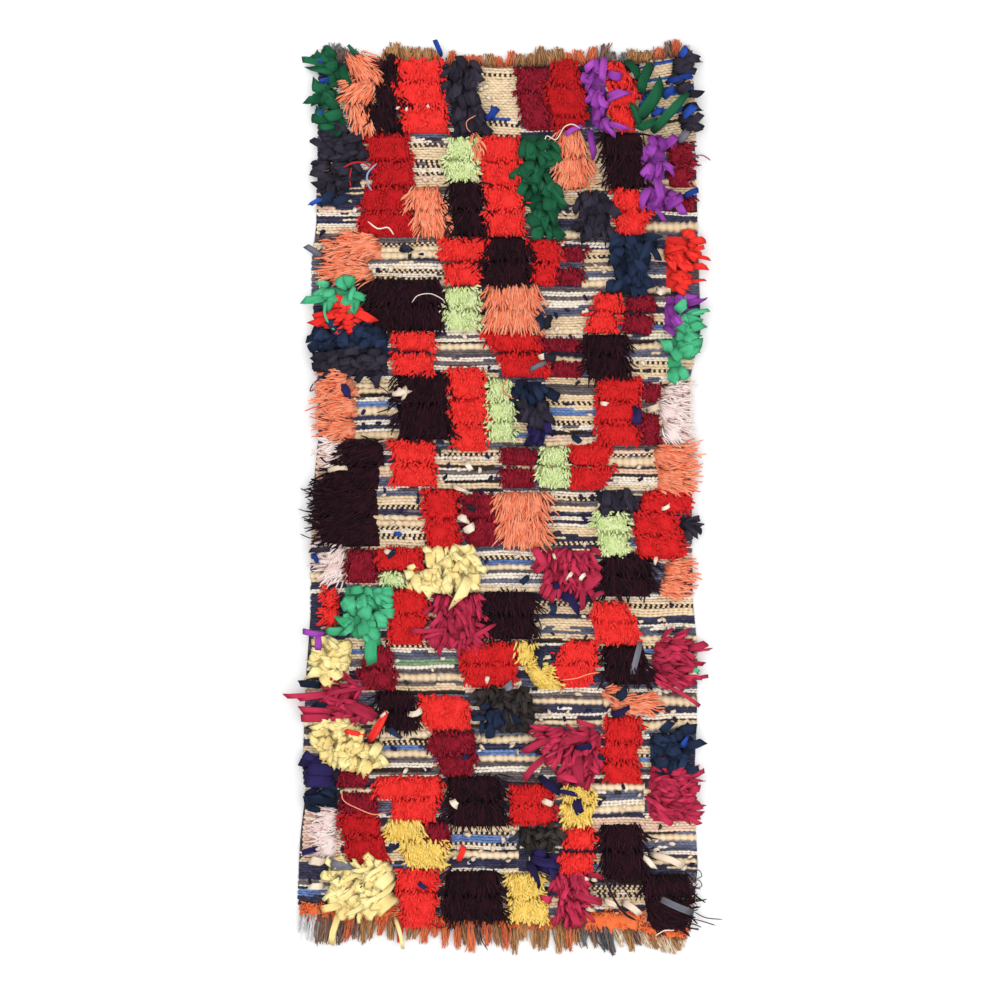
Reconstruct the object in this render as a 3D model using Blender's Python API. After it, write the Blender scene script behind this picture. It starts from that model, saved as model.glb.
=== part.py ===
"""A Moroccan rag rug lying flat: a striped woven ground under patches of cut yarn and rag-strip pile.

The rug is one lumpy slab. Its pile hangs over the two long sides as locks. The warp ends make a row
of tufts at each short side, fused at the roots into a narrow strip that is parted from the cloth.
"""

import bisect
from collections import namedtuple

import bmesh
import bpy
from mathutils import Vector, noise

# The knot chart: places are counted in chart units, across from its left and down from its top
CHART_UNIT = 0.0025
CHART_MIDDLE_ACROSS = 504.0
CHART_MIDDLE_DOWN = 498.0
BAND_OVERHANG = 2.0
INSIDE_RIM = 4.0

# Sizes in metres
GROUND_HEIGHT = 0.006
RIM_SHARE = 0.55
LUMP_HEIGHT = 0.007
LUMP_SIZE = 0.045
FULL_LUMP_PILE = 0.010
PILE_SLOPE = 0.014
STRIP_GAP = 0.0005
STRIP_WIDTH = 0.008
STRIP_HEIGHT = 0.007
SHORT_STRAND_SHARE = 0.82

# The slab's grid
COLUMNS = 34
ROWS = 86
SEGMENTS_PER_COLUMN = 2

Finish = namedtuple("Finish", "colour pile_height roughness")
FINISHES = {
    "cream": Finish((0.67, 0.52, 0.32), 0.0, 0.9),
    "scarlet": Finish((0.85, 0.045, 0.025), 0.018, 0.85),
    "crimson": Finish((0.60, 0.012, 0.015), 0.018, 0.85),
    "burgundy": Finish((0.30, 0.008, 0.03), 0.018, 0.85),
    "salmon": Finish((0.90, 0.26, 0.11), 0.020, 0.8),
    "black": Finish((0.012, 0.007, 0.010), 0.022, 0.8),
    "lime": Finish((0.50, 0.74, 0.24), 0.018, 0.85),
    "gold": Finish((0.84, 0.55, 0.10), 0.020, 0.85),
    "straw": Finish((0.82, 0.68, 0.28), 0.020, 0.8),
    "pink": Finish((0.85, 0.62, 0.58), 0.016, 0.85),
    "wine": Finish((0.38, 0.02, 0.06), 0.020, 0.75),
    "violet": Finish((0.22, 0.045, 0.40), 0.020, 0.7),
    "emerald": Finish((0.01, 0.15, 0.05), 0.020, 0.75),
    "jade": Finish((0.04, 0.38, 0.19), 0.020, 0.75),
    "slate": Finish((0.045, 0.04, 0.06), 0.020, 0.75),
    "navy": Finish((0.014, 0.035, 0.09), 0.020, 0.75),
    "indigo": Finish((0.025, 0.017, 0.12), 0.020, 0.75),
    "charcoal": Finish((0.045, 0.035, 0.035), 0.020, 0.75),
    "ochre": Finish((0.44, 0.19, 0.045), 0.0, 0.85),
    "rust": Finish((0.60, 0.12, 0.035), 0.0, 0.85),
}

# Edges of the woven ground. Sides: down, across. Ends: across, down.
LEFT_EDGE = (
    (58, 319), (140, 318), (230, 316), (262, 312), (290, 312), (345, 317), (440, 319), (500, 313),
    (560, 311), (620, 311), (690, 306), (770, 303), (808, 306), (860, 300), (900, 298), (918, 301),
)
RIGHT_EDGE = (
    (50, 690), (105, 694), (230, 697), (330, 700), (375, 690), (440, 688), (500, 691), (600, 692),
    (650, 697), (725, 696), (790, 693), (865, 697), (925, 692), (943, 685),
)
TOP_EDGE = ((317, 60), (345, 58), (440, 61), (500, 63), (560, 62), (640, 59), (690, 50))
BOTTOM_EDGE = ((300, 917), (400, 920), (450, 923), (550, 924), (630, 932), (686, 943))

# Bands of pile, from the top of the rug to its bottom. A patch is its colour, left and right.
Band = namedtuple("Band", "top bottom patches")
BANDS = (
    Band(58, 133, (
        ("emerald", 303, 350), ("salmon", 343, 378), ("black", 370, 400), ("scarlet", 394, 448),
        ("slate", 442, 481), ("burgundy", 515, 553), ("crimson", 543, 588), ("violet", 580, 612),
        ("scarlet", 603, 642), ("emerald", 630, 672), ("slate", 674, 702),
    )),
    Band(133, 187, (
        ("slate", 312, 370), ("crimson", 366, 413), ("lime", 441, 482), ("scarlet", 480, 521),
        ("emerald", 514, 561), ("salmon", 550, 588), ("black", 600, 645), ("violet", 642, 668),
        ("burgundy", 665, 702),
    )),
    Band(187, 237, (
        ("crimson", 360, 415), ("salmon", 394, 450), ("black", 446, 486), ("scarlet", 480, 524),
        ("emerald", 515, 568), ("slate", 572, 614), ("scarlet", 610, 655), ("violet", 640, 672),
    )),
    Band(237, 285, (
        ("salmon", 310, 382), ("scarlet", 432, 488), ("black", 482, 530), ("crimson", 526, 560),
        ("burgundy", 556, 585), ("navy", 608, 660), ("scarlet", 655, 708),
    )),
    Band(285, 331, (
        ("jade", 303, 366), ("black", 362, 442), ("lime", 440, 484), ("salmon", 482, 542),
        ("scarlet", 585, 627), ("burgundy", 621, 660), ("violet", 652, 690), ("jade", 672, 706),
    )),
    Band(331, 377, (
        ("navy", 312, 394), ("scarlet", 391, 438), ("crimson", 476, 548), ("burgundy", 534, 583),
        ("black", 583, 629), ("jade", 662, 700),
    )),
    Band(372, 443, (
        ("salmon", 309, 358), ("black", 392, 448), ("scarlet", 444, 488), ("lime", 485, 516),
        ("navy", 512, 553), ("crimson", 592, 643), ("burgundy", 638, 664), ("pink", 650, 692),
    )),
    Band(440, 488, (
        ("black", 318, 386), ("scarlet", 379, 438), ("burgundy", 498, 537), ("lime", 534, 570),
        ("crimson", 567, 618), ("salmon", 655, 698),
    )),
    Band(488, 548, (
        ("black", 303, 382), ("crimson", 418, 460), ("burgundy", 456, 500), ("salmon", 486, 550),
        ("lime", 592, 630), ("crimson", 626, 700),
    )),
    Band(548, 588, (
        ("pink", 309, 350), ("burgundy", 334, 377), ("crimson", 371, 427), ("straw", 420, 474),
        ("wine", 536, 604), ("black", 596, 662), ("salmon", 655, 697),
    )),
    Band(588, 640, (
        ("scarlet", 309, 342), ("jade", 336, 388), ("crimson", 382, 430), ("wine", 424, 484),
        ("black", 480, 542), ("scarlet", 586, 641),
    )),
    Band(640, 686, (
        ("straw", 304, 358), ("burgundy", 354, 397), ("scarlet", 456, 518), ("gold", 515, 552),
        ("scarlet", 550, 604), ("black", 596, 650), ("wine", 645, 705),
    )),
    Band(686, 730, (
        ("wine", 300, 376), ("black", 358, 418), ("scarlet", 410, 473), ("charcoal", 468, 538),
        ("salmon", 600, 652),
    )),
    Band(722, 775, (
        ("straw", 303, 381), ("burgundy", 420, 482), ("wine", 530, 602), ("crimson", 596, 648),
        ("navy", 640, 698),
    )),
    Band(775, 826, (
        ("indigo", 303, 336), ("burgundy", 333, 376), ("scarlet", 366, 446), ("black", 440, 508),
        ("crimson", 502, 558), ("gold", 554, 600), ("wine", 636, 702),
    )),
    Band(820, 869, (
        ("pink", 302, 340), ("crimson", 330, 390), ("gold", 378, 449), ("charcoal", 514, 556),
        ("scarlet", 554, 597), ("black", 595, 656),
    )),
    Band(869, 927, (
        ("straw", 323, 396), ("scarlet", 392, 440), ("black", 438, 508), ("gold", 504, 552),
        ("wine", 544, 602), ("black", 640, 700),
    )),
)

# Locks of pile that hang over the long sides: down, across at the tip
LEFT_LOCKS = (
    (62, 302), (88, 312), (100, 306), (120, 312), (145, 312), (173, 311), (187, 315), (248, 305),
    (270, 309), (300, 303), (323, 312), (334, 313), (345, 312), (360, 310), (370, 309), (390, 309),
    (409, 308), (427, 309), (458, 309), (472, 311), (481, 308), (497, 301), (509, 298), (519, 303),
    (535, 301), (546, 308), (573, 308), (596, 308), (630, 303), (645, 305), (656, 305), (682, 299),
    (695, 285), (712, 300), (735, 302), (748, 302), (796, 300), (845, 298),
)
RIGHT_LOCKS = (
    (66, 694), (80, 696), (95, 702), (118, 701), (130, 699), (145, 698), (157, 711), (166, 701),
    (177, 699), (246, 703), (259, 709), (268, 707), (280, 705), (299, 707), (310, 708), (325, 704),
    (338, 703), (350, 701), (359, 697), (395, 695), (442, 696), (458, 697), (482, 703), (490, 698),
    (500, 701), (509, 703), (522, 697), (535, 697), (567, 698), (587, 698), (643, 704), (651, 710),
    (677, 707), (710, 702), (742, 703), (766, 699), (779, 703), (790, 700), (809, 703), (819, 703),
    (829, 700), (874, 703), (884, 702), (893, 702), (904, 704), (912, 712), (919, 723), (928, 712),
)

# Warp tufts at the two ends: across at the root, across and down at the tip
BOTTOM_TUFTS = (
    (304, 301, 934), (313, 308, 943), (322, 318, 948), (334, 330, 945), (343, 338, 947),
    (352, 346, 944), (366, 362, 947), (383, 380, 937), (391, 390, 942), (400, 401, 945),
    (410, 408, 942), (427, 423, 946), (436, 434, 940), (446, 444, 950), (458, 457, 952),
    (469, 470, 955), (477, 480, 947), (486, 488, 948), (497, 497, 949), (505, 506, 953),
    (516, 514, 957), (523, 524, 943), (536, 535, 953), (545, 545, 953), (556, 560, 956),
    (570, 570, 954), (577, 577, 947), (584, 584, 951), (592, 597, 950), (600, 607, 954),
    (606, 614, 958), (617, 623, 949), (627, 633, 954), (642, 649, 950), (659, 666, 955),
    (668, 674, 956), (682, 683, 949),
)
TOP_TUFTS = (
    (322, 320, 52), (330, 328, 44), (338, 337, 41), (345, 343, 46), (355, 352, 44), (364, 362, 54),
    (375, 376, 56), (388, 387, 45), (396, 396, 40), (405, 404, 44), (420, 418, 45), (435, 432, 47),
    (442, 438, 41), (452, 452, 49), (461, 463, 54), (480, 478, 54), (490, 489, 52), (500, 498, 55),
    (511, 512, 49), (530, 530, 52), (540, 541, 44), (550, 549, 48), (559, 560, 45), (570, 568, 51),
    (580, 578, 48), (592, 594, 45), (602, 605, 41), (611, 613, 50), (622, 624, 51), (633, 633, 47),
    (650, 649, 49), (659, 661, 45), (667, 668, 39), (675, 676, 38), (684, 686, 44),
)

# Rings of a lock, out from its root: share of the way, share of the root's width and height
Ring = namedtuple("Ring", "way width height")
LOCK_RINGS = (Ring(0.5, 0.66, 0.7), Ring(1.0, 0.2, 0.3))


def chart_place(across, down, height=0.0):
    """A place on the chart as a point in metres, about the rug's middle."""
    x = (across - CHART_MIDDLE_ACROSS) * CHART_UNIT
    y = (CHART_MIDDLE_DOWN - down) * CHART_UNIT
    return Vector((x, y, height))


def along_line(line, at):
    """Reads a line of (place, value) rows at a place, straight between its rows."""
    after = min(max(bisect.bisect(line, (at,)), 1), len(line) - 1)
    (before_at, before), (after_at, value) = line[after - 1], line[after]
    share = min(max((at - before_at) / (after_at - before_at), 0.0), 1.0)
    return before + (value - before) * share


def rise(distance):
    """The rounded edge of a patch of pile: 0 outside it, 1 once past its slope."""
    share = min(max(distance * CHART_UNIT / PILE_SLOPE, 0.0), 1.0)
    return share * (2.0 - share)


def pile_at(across, down):
    """The colour and height of the pile at a place on the chart."""
    best = ("cream", 0.0)
    for band in BANDS:
        depth = min(down - band.top, band.bottom - down)
        if depth <= 0:
            continue
        for colour, left, right in band.patches:
            inside = min(across - left, right - across)
            height = FINISHES[colour].pile_height * rise(inside) * rise(depth + BAND_OVERHANG)
            if inside > 0 and height > best[1]:
                best = (colour, height)
    return best


def surface_point(across, down, at_rim):
    """A point of the slab's top: the ground, the pile on it and the pile's lumps."""
    point = chart_place(across, down)
    pile = pile_at(across, down)[1]
    lump = LUMP_HEIGHT * noise.noise(point / LUMP_SIZE) * min(pile / FULL_LUMP_PILE, 1.0)
    point.z = GROUND_HEIGHT + (pile + lump) * (RIM_SHARE if at_rim else 1.0)
    return point


def slab_place(column, row):
    """The chart place of a grid corner, between the four uneven edges."""
    down = TOP_EDGE[0][1] + (BOTTOM_EDGE[-1][1] - TOP_EDGE[0][1]) * row / ROWS
    left, right = along_line(LEFT_EDGE, down), along_line(RIGHT_EDGE, down)
    across = left + (right - left) * column / COLUMNS
    top, bottom = along_line(TOP_EDGE, across), along_line(BOTTOM_EDGE, across)
    return across, top + (bottom - top) * row / ROWS


def grow_lock(bm, face, tip, along):
    """Draws a rim face out to its tip, thinner at each ring, with its underside kept on the floor.

    along is the axis that the rim runs along, 0 for X and 1 for Y.
    """
    out = 1 - along
    root = face.calc_center_median()
    done = Ring(0.0, 1.0, 1.0)
    for ring in LOCK_RINGS:
        face = bmesh.ops.extrude_discrete_faces(bm, faces=[face])["faces"][0]
        was, now = root.lerp(tip, done.way), root.lerp(tip, ring.way)
        straighten = (1.0 - ring.way) / (1.0 - done.way)
        for vert in face.verts:
            vert.co[along] = now[along] + (vert.co[along] - was[along]) * ring.width / done.width
            vert.co[out] = now[out] + (vert.co[out] - was[out]) * straighten
            vert.co.z *= ring.height / done.height
        done = ring


def lock_tip(locks, top, bottom):
    """The across of the furthest tip among the locks rooted between two rows, or None."""
    tips = [tip for down, tip in locks if top <= down < bottom]
    if not tips:
        return None
    return max(tips, key=lambda tip: abs(tip - CHART_MIDDLE_ACROSS))


def colour_faces(bm, names):
    """Gives each face the material of the patch that its middle lies in."""
    for face in bm.faces:
        middle = face.calc_center_median()
        across = middle.x / CHART_UNIT + CHART_MIDDLE_ACROSS
        down = CHART_MIDDLE_DOWN - middle.y / CHART_UNIT
        across = max(across, along_line(LEFT_EDGE, down) + INSIDE_RIM)
        across = min(across, along_line(RIGHT_EDGE, down) - INSIDE_RIM)
        face.material_index = names.index(pile_at(across, down)[0])


def finish_material(name):
    """The Principled material of one colour of yarn or rag."""
    finish = FINISHES[name]
    material = bpy.data.materials.new(name)
    material.use_nodes = True
    shader = material.node_tree.nodes["Principled BSDF"]
    shader.inputs["Base Color"].default_value = (*finish.colour, 1.0)
    shader.inputs["Roughness"].default_value = finish.roughness
    shader.inputs["Metallic"].default_value = 0.0
    return material


def add_object(name, bm, colours):
    """Turns the finished mesh into an object with a material for each colour."""
    bmesh.ops.recalc_face_normals(bm, faces=bm.faces)
    mesh = bpy.data.meshes.new(name)
    bm.to_mesh(mesh)
    bm.free()
    for colour in colours:
        mesh.materials.append(bpy.data.materials.get(colour) or finish_material(colour))
    obj = bpy.data.objects.new(name, mesh)
    bpy.context.scene.collection.objects.link(obj)
    return obj


def make_rug_body():
    """The ground and its pile: a lumpy top, a flat underside and locks at the two long sides."""
    bm = bmesh.new()
    top, under = {}, {}
    for row in range(ROWS + 1):
        for column in range(COLUMNS + 1):
            at_rim = row in (0, ROWS) or column in (0, COLUMNS)
            point = surface_point(*slab_place(column, row), at_rim)
            top[column, row] = bm.verts.new(point)
            if at_rim:
                under[column, row] = bm.verts.new((point.x, point.y, 0.0))
    for row in range(ROWS):
        for column in range(COLUMNS):
            corners = ((column, row), (column, row + 1), (column + 1, row + 1), (column + 1, row))
            bm.faces.new([top[corner] for corner in corners])
    for column in range(COLUMNS):
        for row in (0, ROWS):
            ends = (column, row), (column + 1, row)
            bm.faces.new([top[ends[0]], top[ends[1]], under[ends[1]], under[ends[0]]])
    sides = []
    for row in range(ROWS):
        for column, locks in ((0, LEFT_LOCKS), (COLUMNS, RIGHT_LOCKS)):
            ends = (column, row), (column, row + 1)
            face = bm.faces.new([top[ends[0]], top[ends[1]], under[ends[1]], under[ends[0]]])
            spans = [slab_place(*end)[1] for end in ends]
            sides.append((face, lock_tip(locks, *spans), sum(spans) / 2))
    add_underside(bm, under)
    for face, tip, down in sides:
        if tip is not None:
            grow_lock(bm, face, chart_place(tip, down), along=1)
    bmesh.ops.recalc_face_normals(bm, faces=bm.faces)
    names = list(FINISHES)
    colour_faces(bm, names)
    return add_object("rug_body", bm, names)


def add_underside(bm, under):
    """The flat underside, in strips that run from one long side to the other."""
    for row in range(ROWS):
        ring = [under[0, row], under[0, row + 1]]
        if row == ROWS - 1:
            ring += [under[column, ROWS] for column in range(1, COLUMNS)]
        ring += [under[COLUMNS, row + 1], under[COLUMNS, row]]
        if row == 0:
            ring += [under[column, 0] for column in range(COLUMNS - 1, 0, -1)]
        bm.faces.new(ring)


def fringe_stations(row):
    """Chart places along one end of the slab, two for each of its columns."""
    corners = [slab_place(column, row) for column in range(COLUMNS + 1)]
    stations = [corners[0]]
    for before, after in zip(corners, corners[1:]):
        for step in range(1, SEGMENTS_PER_COLUMN + 1):
            share = step / SEGMENTS_PER_COLUMN
            stations.append(tuple(a + (b - a) * share for a, b in zip(before, after)))
    return stations


def tuft_tip(tufts, across, number):
    """The tip of one strand: it leans as its neighbours do, and every other one is shorter."""
    tip_across = along_line([(root, tip) for root, tip, _ in tufts], across)
    tip_down = min(tufts, key=lambda tuft: abs(tuft[0] - across))[2]
    return tip_across, tip_down, SHORT_STRAND_SHARE if number % 2 else 1.0


def make_fringe(name, row, tufts, outward, colour):
    """A strip along one end of the cloth with a strand on each of its segments.

    outward is 1 where the strands point down the chart and -1 where they point up it.
    """
    bm = bmesh.new()
    inner, outer = STRIP_GAP / CHART_UNIT, (STRIP_GAP + STRIP_WIDTH) / CHART_UNIT
    furthest = max((tip for _, _, tip in tufts), key=lambda tip: outward * tip)
    corners = []
    for across, down in fringe_stations(row):
        for offset in (inner, outer):
            for height in (0.0, STRIP_HEIGHT):
                corners.append(bm.verts.new(chart_place(across, down + outward * offset, height)))
    rings = [corners[start:start + 4] for start in range(0, len(corners), 4)]
    strands = []
    for (a, b, c, d), (e, f, g, h) in zip(rings, rings[1:]):
        bm.faces.new((a, b, f, e))
        bm.faces.new((a, c, g, e))
        bm.faces.new((b, d, h, f))
        strands.append(bm.faces.new((c, d, h, g)))
    for a, b, c, d in (rings[0], rings[-1]):
        bm.faces.new((a, b, d, c))
    for number, face in enumerate(strands):
        root = face.calc_center_median()
        across = root.x / CHART_UNIT + CHART_MIDDLE_ACROSS
        tip_across, tip_down, share = tuft_tip(tufts, across, number)
        tip = chart_place(tip_across, tip_down)
        grow_lock(bm, face, tip if tip_down == furthest else root.lerp(tip, share), along=0)
    return add_object(name, bm, [colour])


def main():
    for obj in list(bpy.data.objects):
        bpy.data.objects.remove(obj)
    make_rug_body()
    make_fringe("bottom_fringe", ROWS, BOTTOM_TUFTS, outward=1, colour="ochre")
    make_fringe("top_fringe", 0, TOP_TUFTS, outward=-1, colour="rust")


main()
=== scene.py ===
"""A Moroccan rag rug laid flat on a pale studio floor, seen from straight above.

The woven ground is a thin sheet with raised rows of weft. Patches of cut yarn and of rag strips lie over
it, and the warp ends make a row of tufts at each short side. Places are counted on a knot chart, across
from its left and down from its top, and turned into metres by chart_x and chart_y.
"""

import math
from collections import namedtuple

import bpy
import numpy as np
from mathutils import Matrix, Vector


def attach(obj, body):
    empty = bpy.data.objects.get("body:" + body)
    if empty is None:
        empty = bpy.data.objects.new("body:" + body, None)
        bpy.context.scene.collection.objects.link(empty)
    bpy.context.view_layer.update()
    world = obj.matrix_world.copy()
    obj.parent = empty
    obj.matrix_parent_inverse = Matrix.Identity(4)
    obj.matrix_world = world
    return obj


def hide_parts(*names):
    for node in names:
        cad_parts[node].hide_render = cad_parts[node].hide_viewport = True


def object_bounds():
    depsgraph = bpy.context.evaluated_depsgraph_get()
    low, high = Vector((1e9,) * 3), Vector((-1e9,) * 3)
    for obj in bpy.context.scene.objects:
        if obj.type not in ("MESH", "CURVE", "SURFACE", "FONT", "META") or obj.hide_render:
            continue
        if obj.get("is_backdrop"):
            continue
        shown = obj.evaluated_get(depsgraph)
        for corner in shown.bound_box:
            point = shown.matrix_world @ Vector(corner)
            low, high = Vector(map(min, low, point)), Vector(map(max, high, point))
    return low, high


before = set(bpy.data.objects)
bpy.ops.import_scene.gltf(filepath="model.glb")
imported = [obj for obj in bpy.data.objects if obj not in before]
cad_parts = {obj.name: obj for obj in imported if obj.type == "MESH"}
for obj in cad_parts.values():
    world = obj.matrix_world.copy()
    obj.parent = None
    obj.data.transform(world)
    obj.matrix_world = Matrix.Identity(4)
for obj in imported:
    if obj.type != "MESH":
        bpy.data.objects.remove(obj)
CAD_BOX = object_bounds()

# The knot chart
CHART_UNIT = 0.0025
CHART_MIDDLE_ACROSS = 504.0
CHART_MIDDLE_DOWN = 498.0

# Edges of the woven ground. Sides: down, across. Ends: across, down.
LEFT_EDGE = (
    (58, 319), (140, 318), (230, 316), (262, 312), (290, 312), (345, 317), (440, 319), (500, 313),
    (560, 311), (620, 311), (690, 306), (770, 303), (808, 306), (860, 300), (900, 298), (918, 301),
)
RIGHT_EDGE = (
    (50, 690), (105, 694), (230, 697), (330, 700), (375, 690), (440, 688), (500, 691), (600, 692),
    (650, 697), (725, 696), (790, 693), (865, 697), (925, 692), (943, 685),
)
TOP_EDGE = ((317, 60), (345, 58), (440, 61), (500, 63), (560, 62), (640, 59), (690, 50))
BOTTOM_EDGE = ((300, 917), (400, 920), (450, 923), (550, 924), (630, 932), (686, 943))

# Yarn pile. Colours are linear red, green, blue of the darkest and lightest strand.
# Length is in chart units, thickness and lift in metres, spread and jitter in degrees.
Yarn = namedtuple("Yarn", "dark light length thickness lift spread jitter density")
YARNS = {
    "scarlet": Yarn((0.83, 0.020, 0.018), (0.97, 0.056, 0.046), 6.6, 0.0060, 0.0195, 26, 30, 0.208),
    "red": Yarn((0.60, 0.011, 0.013), (0.82, 0.027, 0.028), 6.3, 0.0059, 0.0185, 26, 30, 0.208),
    "crimson": Yarn((0.45, 0.007, 0.010), (0.63, 0.016, 0.021), 6.0, 0.0058, 0.0180, 24, 28, 0.208),
    "burgundy": Yarn((0.14, 0.003, 0.010), (0.40, 0.015, 0.038), 6.0, 0.0058, 0.0175, 24, 26, 0.208),
    "salmon": Yarn((0.88, 0.165, 0.068), (1.00, 0.450, 0.270), 14, 0.0050, 0.0210, 38, 11, 0.166),
    "black": Yarn((0.003, 0.0010, 0.002), (0.040, 0.007, 0.015), 15, 0.0046, 0.0225, 34, 24, 0.114),
    "lime": Yarn((0.58, 0.76, 0.28), (0.88, 0.92, 0.56), 6.4, 0.0056, 0.0200, 34, 34, 0.210),
    "gold": Yarn((0.88, 0.56, 0.085), (1.00, 0.80, 0.250), 7.6, 0.0060, 0.0205, 30, 28, 0.202),
    "pink": Yarn((0.90, 0.64, 0.590), (1.00, 0.93, 0.900), 14, 0.0048, 0.0175, 40, 15, 0.154),
    "orange": Yarn((0.78, 0.090, 0.022), (1.00, 0.300, 0.095), 7, 0.0044, 0.0110, 60, 60, 0.205),
}

# Rag pile. Length and width are in chart units, lift in metres, spread and jitter in degrees.
Rag = namedtuple("Rag", "dark light length width lift spread jitter cover")
RAGS = {
    "emerald": Rag((0.002, 0.040, 0.016), (0.016, 0.150, 0.066), 17, 10.5, 0.0230, 30, 26, 3.6),
    "violet": Rag((0.150, 0.018, 0.210), (0.460, 0.085, 0.560), 17, 8.4, 0.0230, 36, 28, 3.4),
    "slate": Rag((0.008, 0.007, 0.014), (0.044, 0.036, 0.058), 16, 8.0, 0.0220, 32, 24, 4.0),
    "jade": Rag((0.028, 0.300, 0.115), (0.110, 0.620, 0.330), 16, 11.0, 0.0230, 44, 46, 4.2),
    "navy": Rag((0.001, 0.003, 0.009), (0.022, 0.040, 0.096), 15, 8.6, 0.0225, 38, 38, 3.9),
    "indigo": Rag((0.006, 0.004, 0.030), (0.030, 0.020, 0.110), 16, 8.5, 0.0190, 24, 26, 3.2),
    "charcoal": Rag((0.005, 0.004, 0.004), (0.060, 0.048, 0.044), 14, 5.0, 0.0215, 44, 40, 3.6),
    "wine": Rag((0.250, 0.011, 0.034), (0.680, 0.038, 0.104), 18, 4.6, 0.0230, 40, 24, 3.8),
    "straw": Rag((0.88, 0.63, 0.210), (1.00, 0.92, 0.460), 14, 8.6, 0.0225, 32, 40, 4.8),
    "scarlet": Rag((0.70, 0.014, 0.011), (1.00, 0.050, 0.035), 16, 6.6, 0.0230, 36, 24, 3.7),
    "cobalt": Rag((0.004, 0.020, 0.170), (0.025, 0.090, 0.460), 10, 5.0, 0.0160, 30, 30, 2.0),
    "cream": Rag((0.66, 0.50, 0.360), (0.97, 0.85, 0.700), 10, 5.0, 0.0160, 30, 30, 2.0),
    "grey": Rag((0.08, 0.080, 0.100), (0.26, 0.260, 0.310), 10, 5.0, 0.0160, 30, 30, 2.0),
}


def by_colour(kind, table):
    """The rows of a table that is grouped by colour, with named columns."""
    return {colour: tuple(kind(*row) for row in rows) for colour, rows in table.items()}


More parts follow.
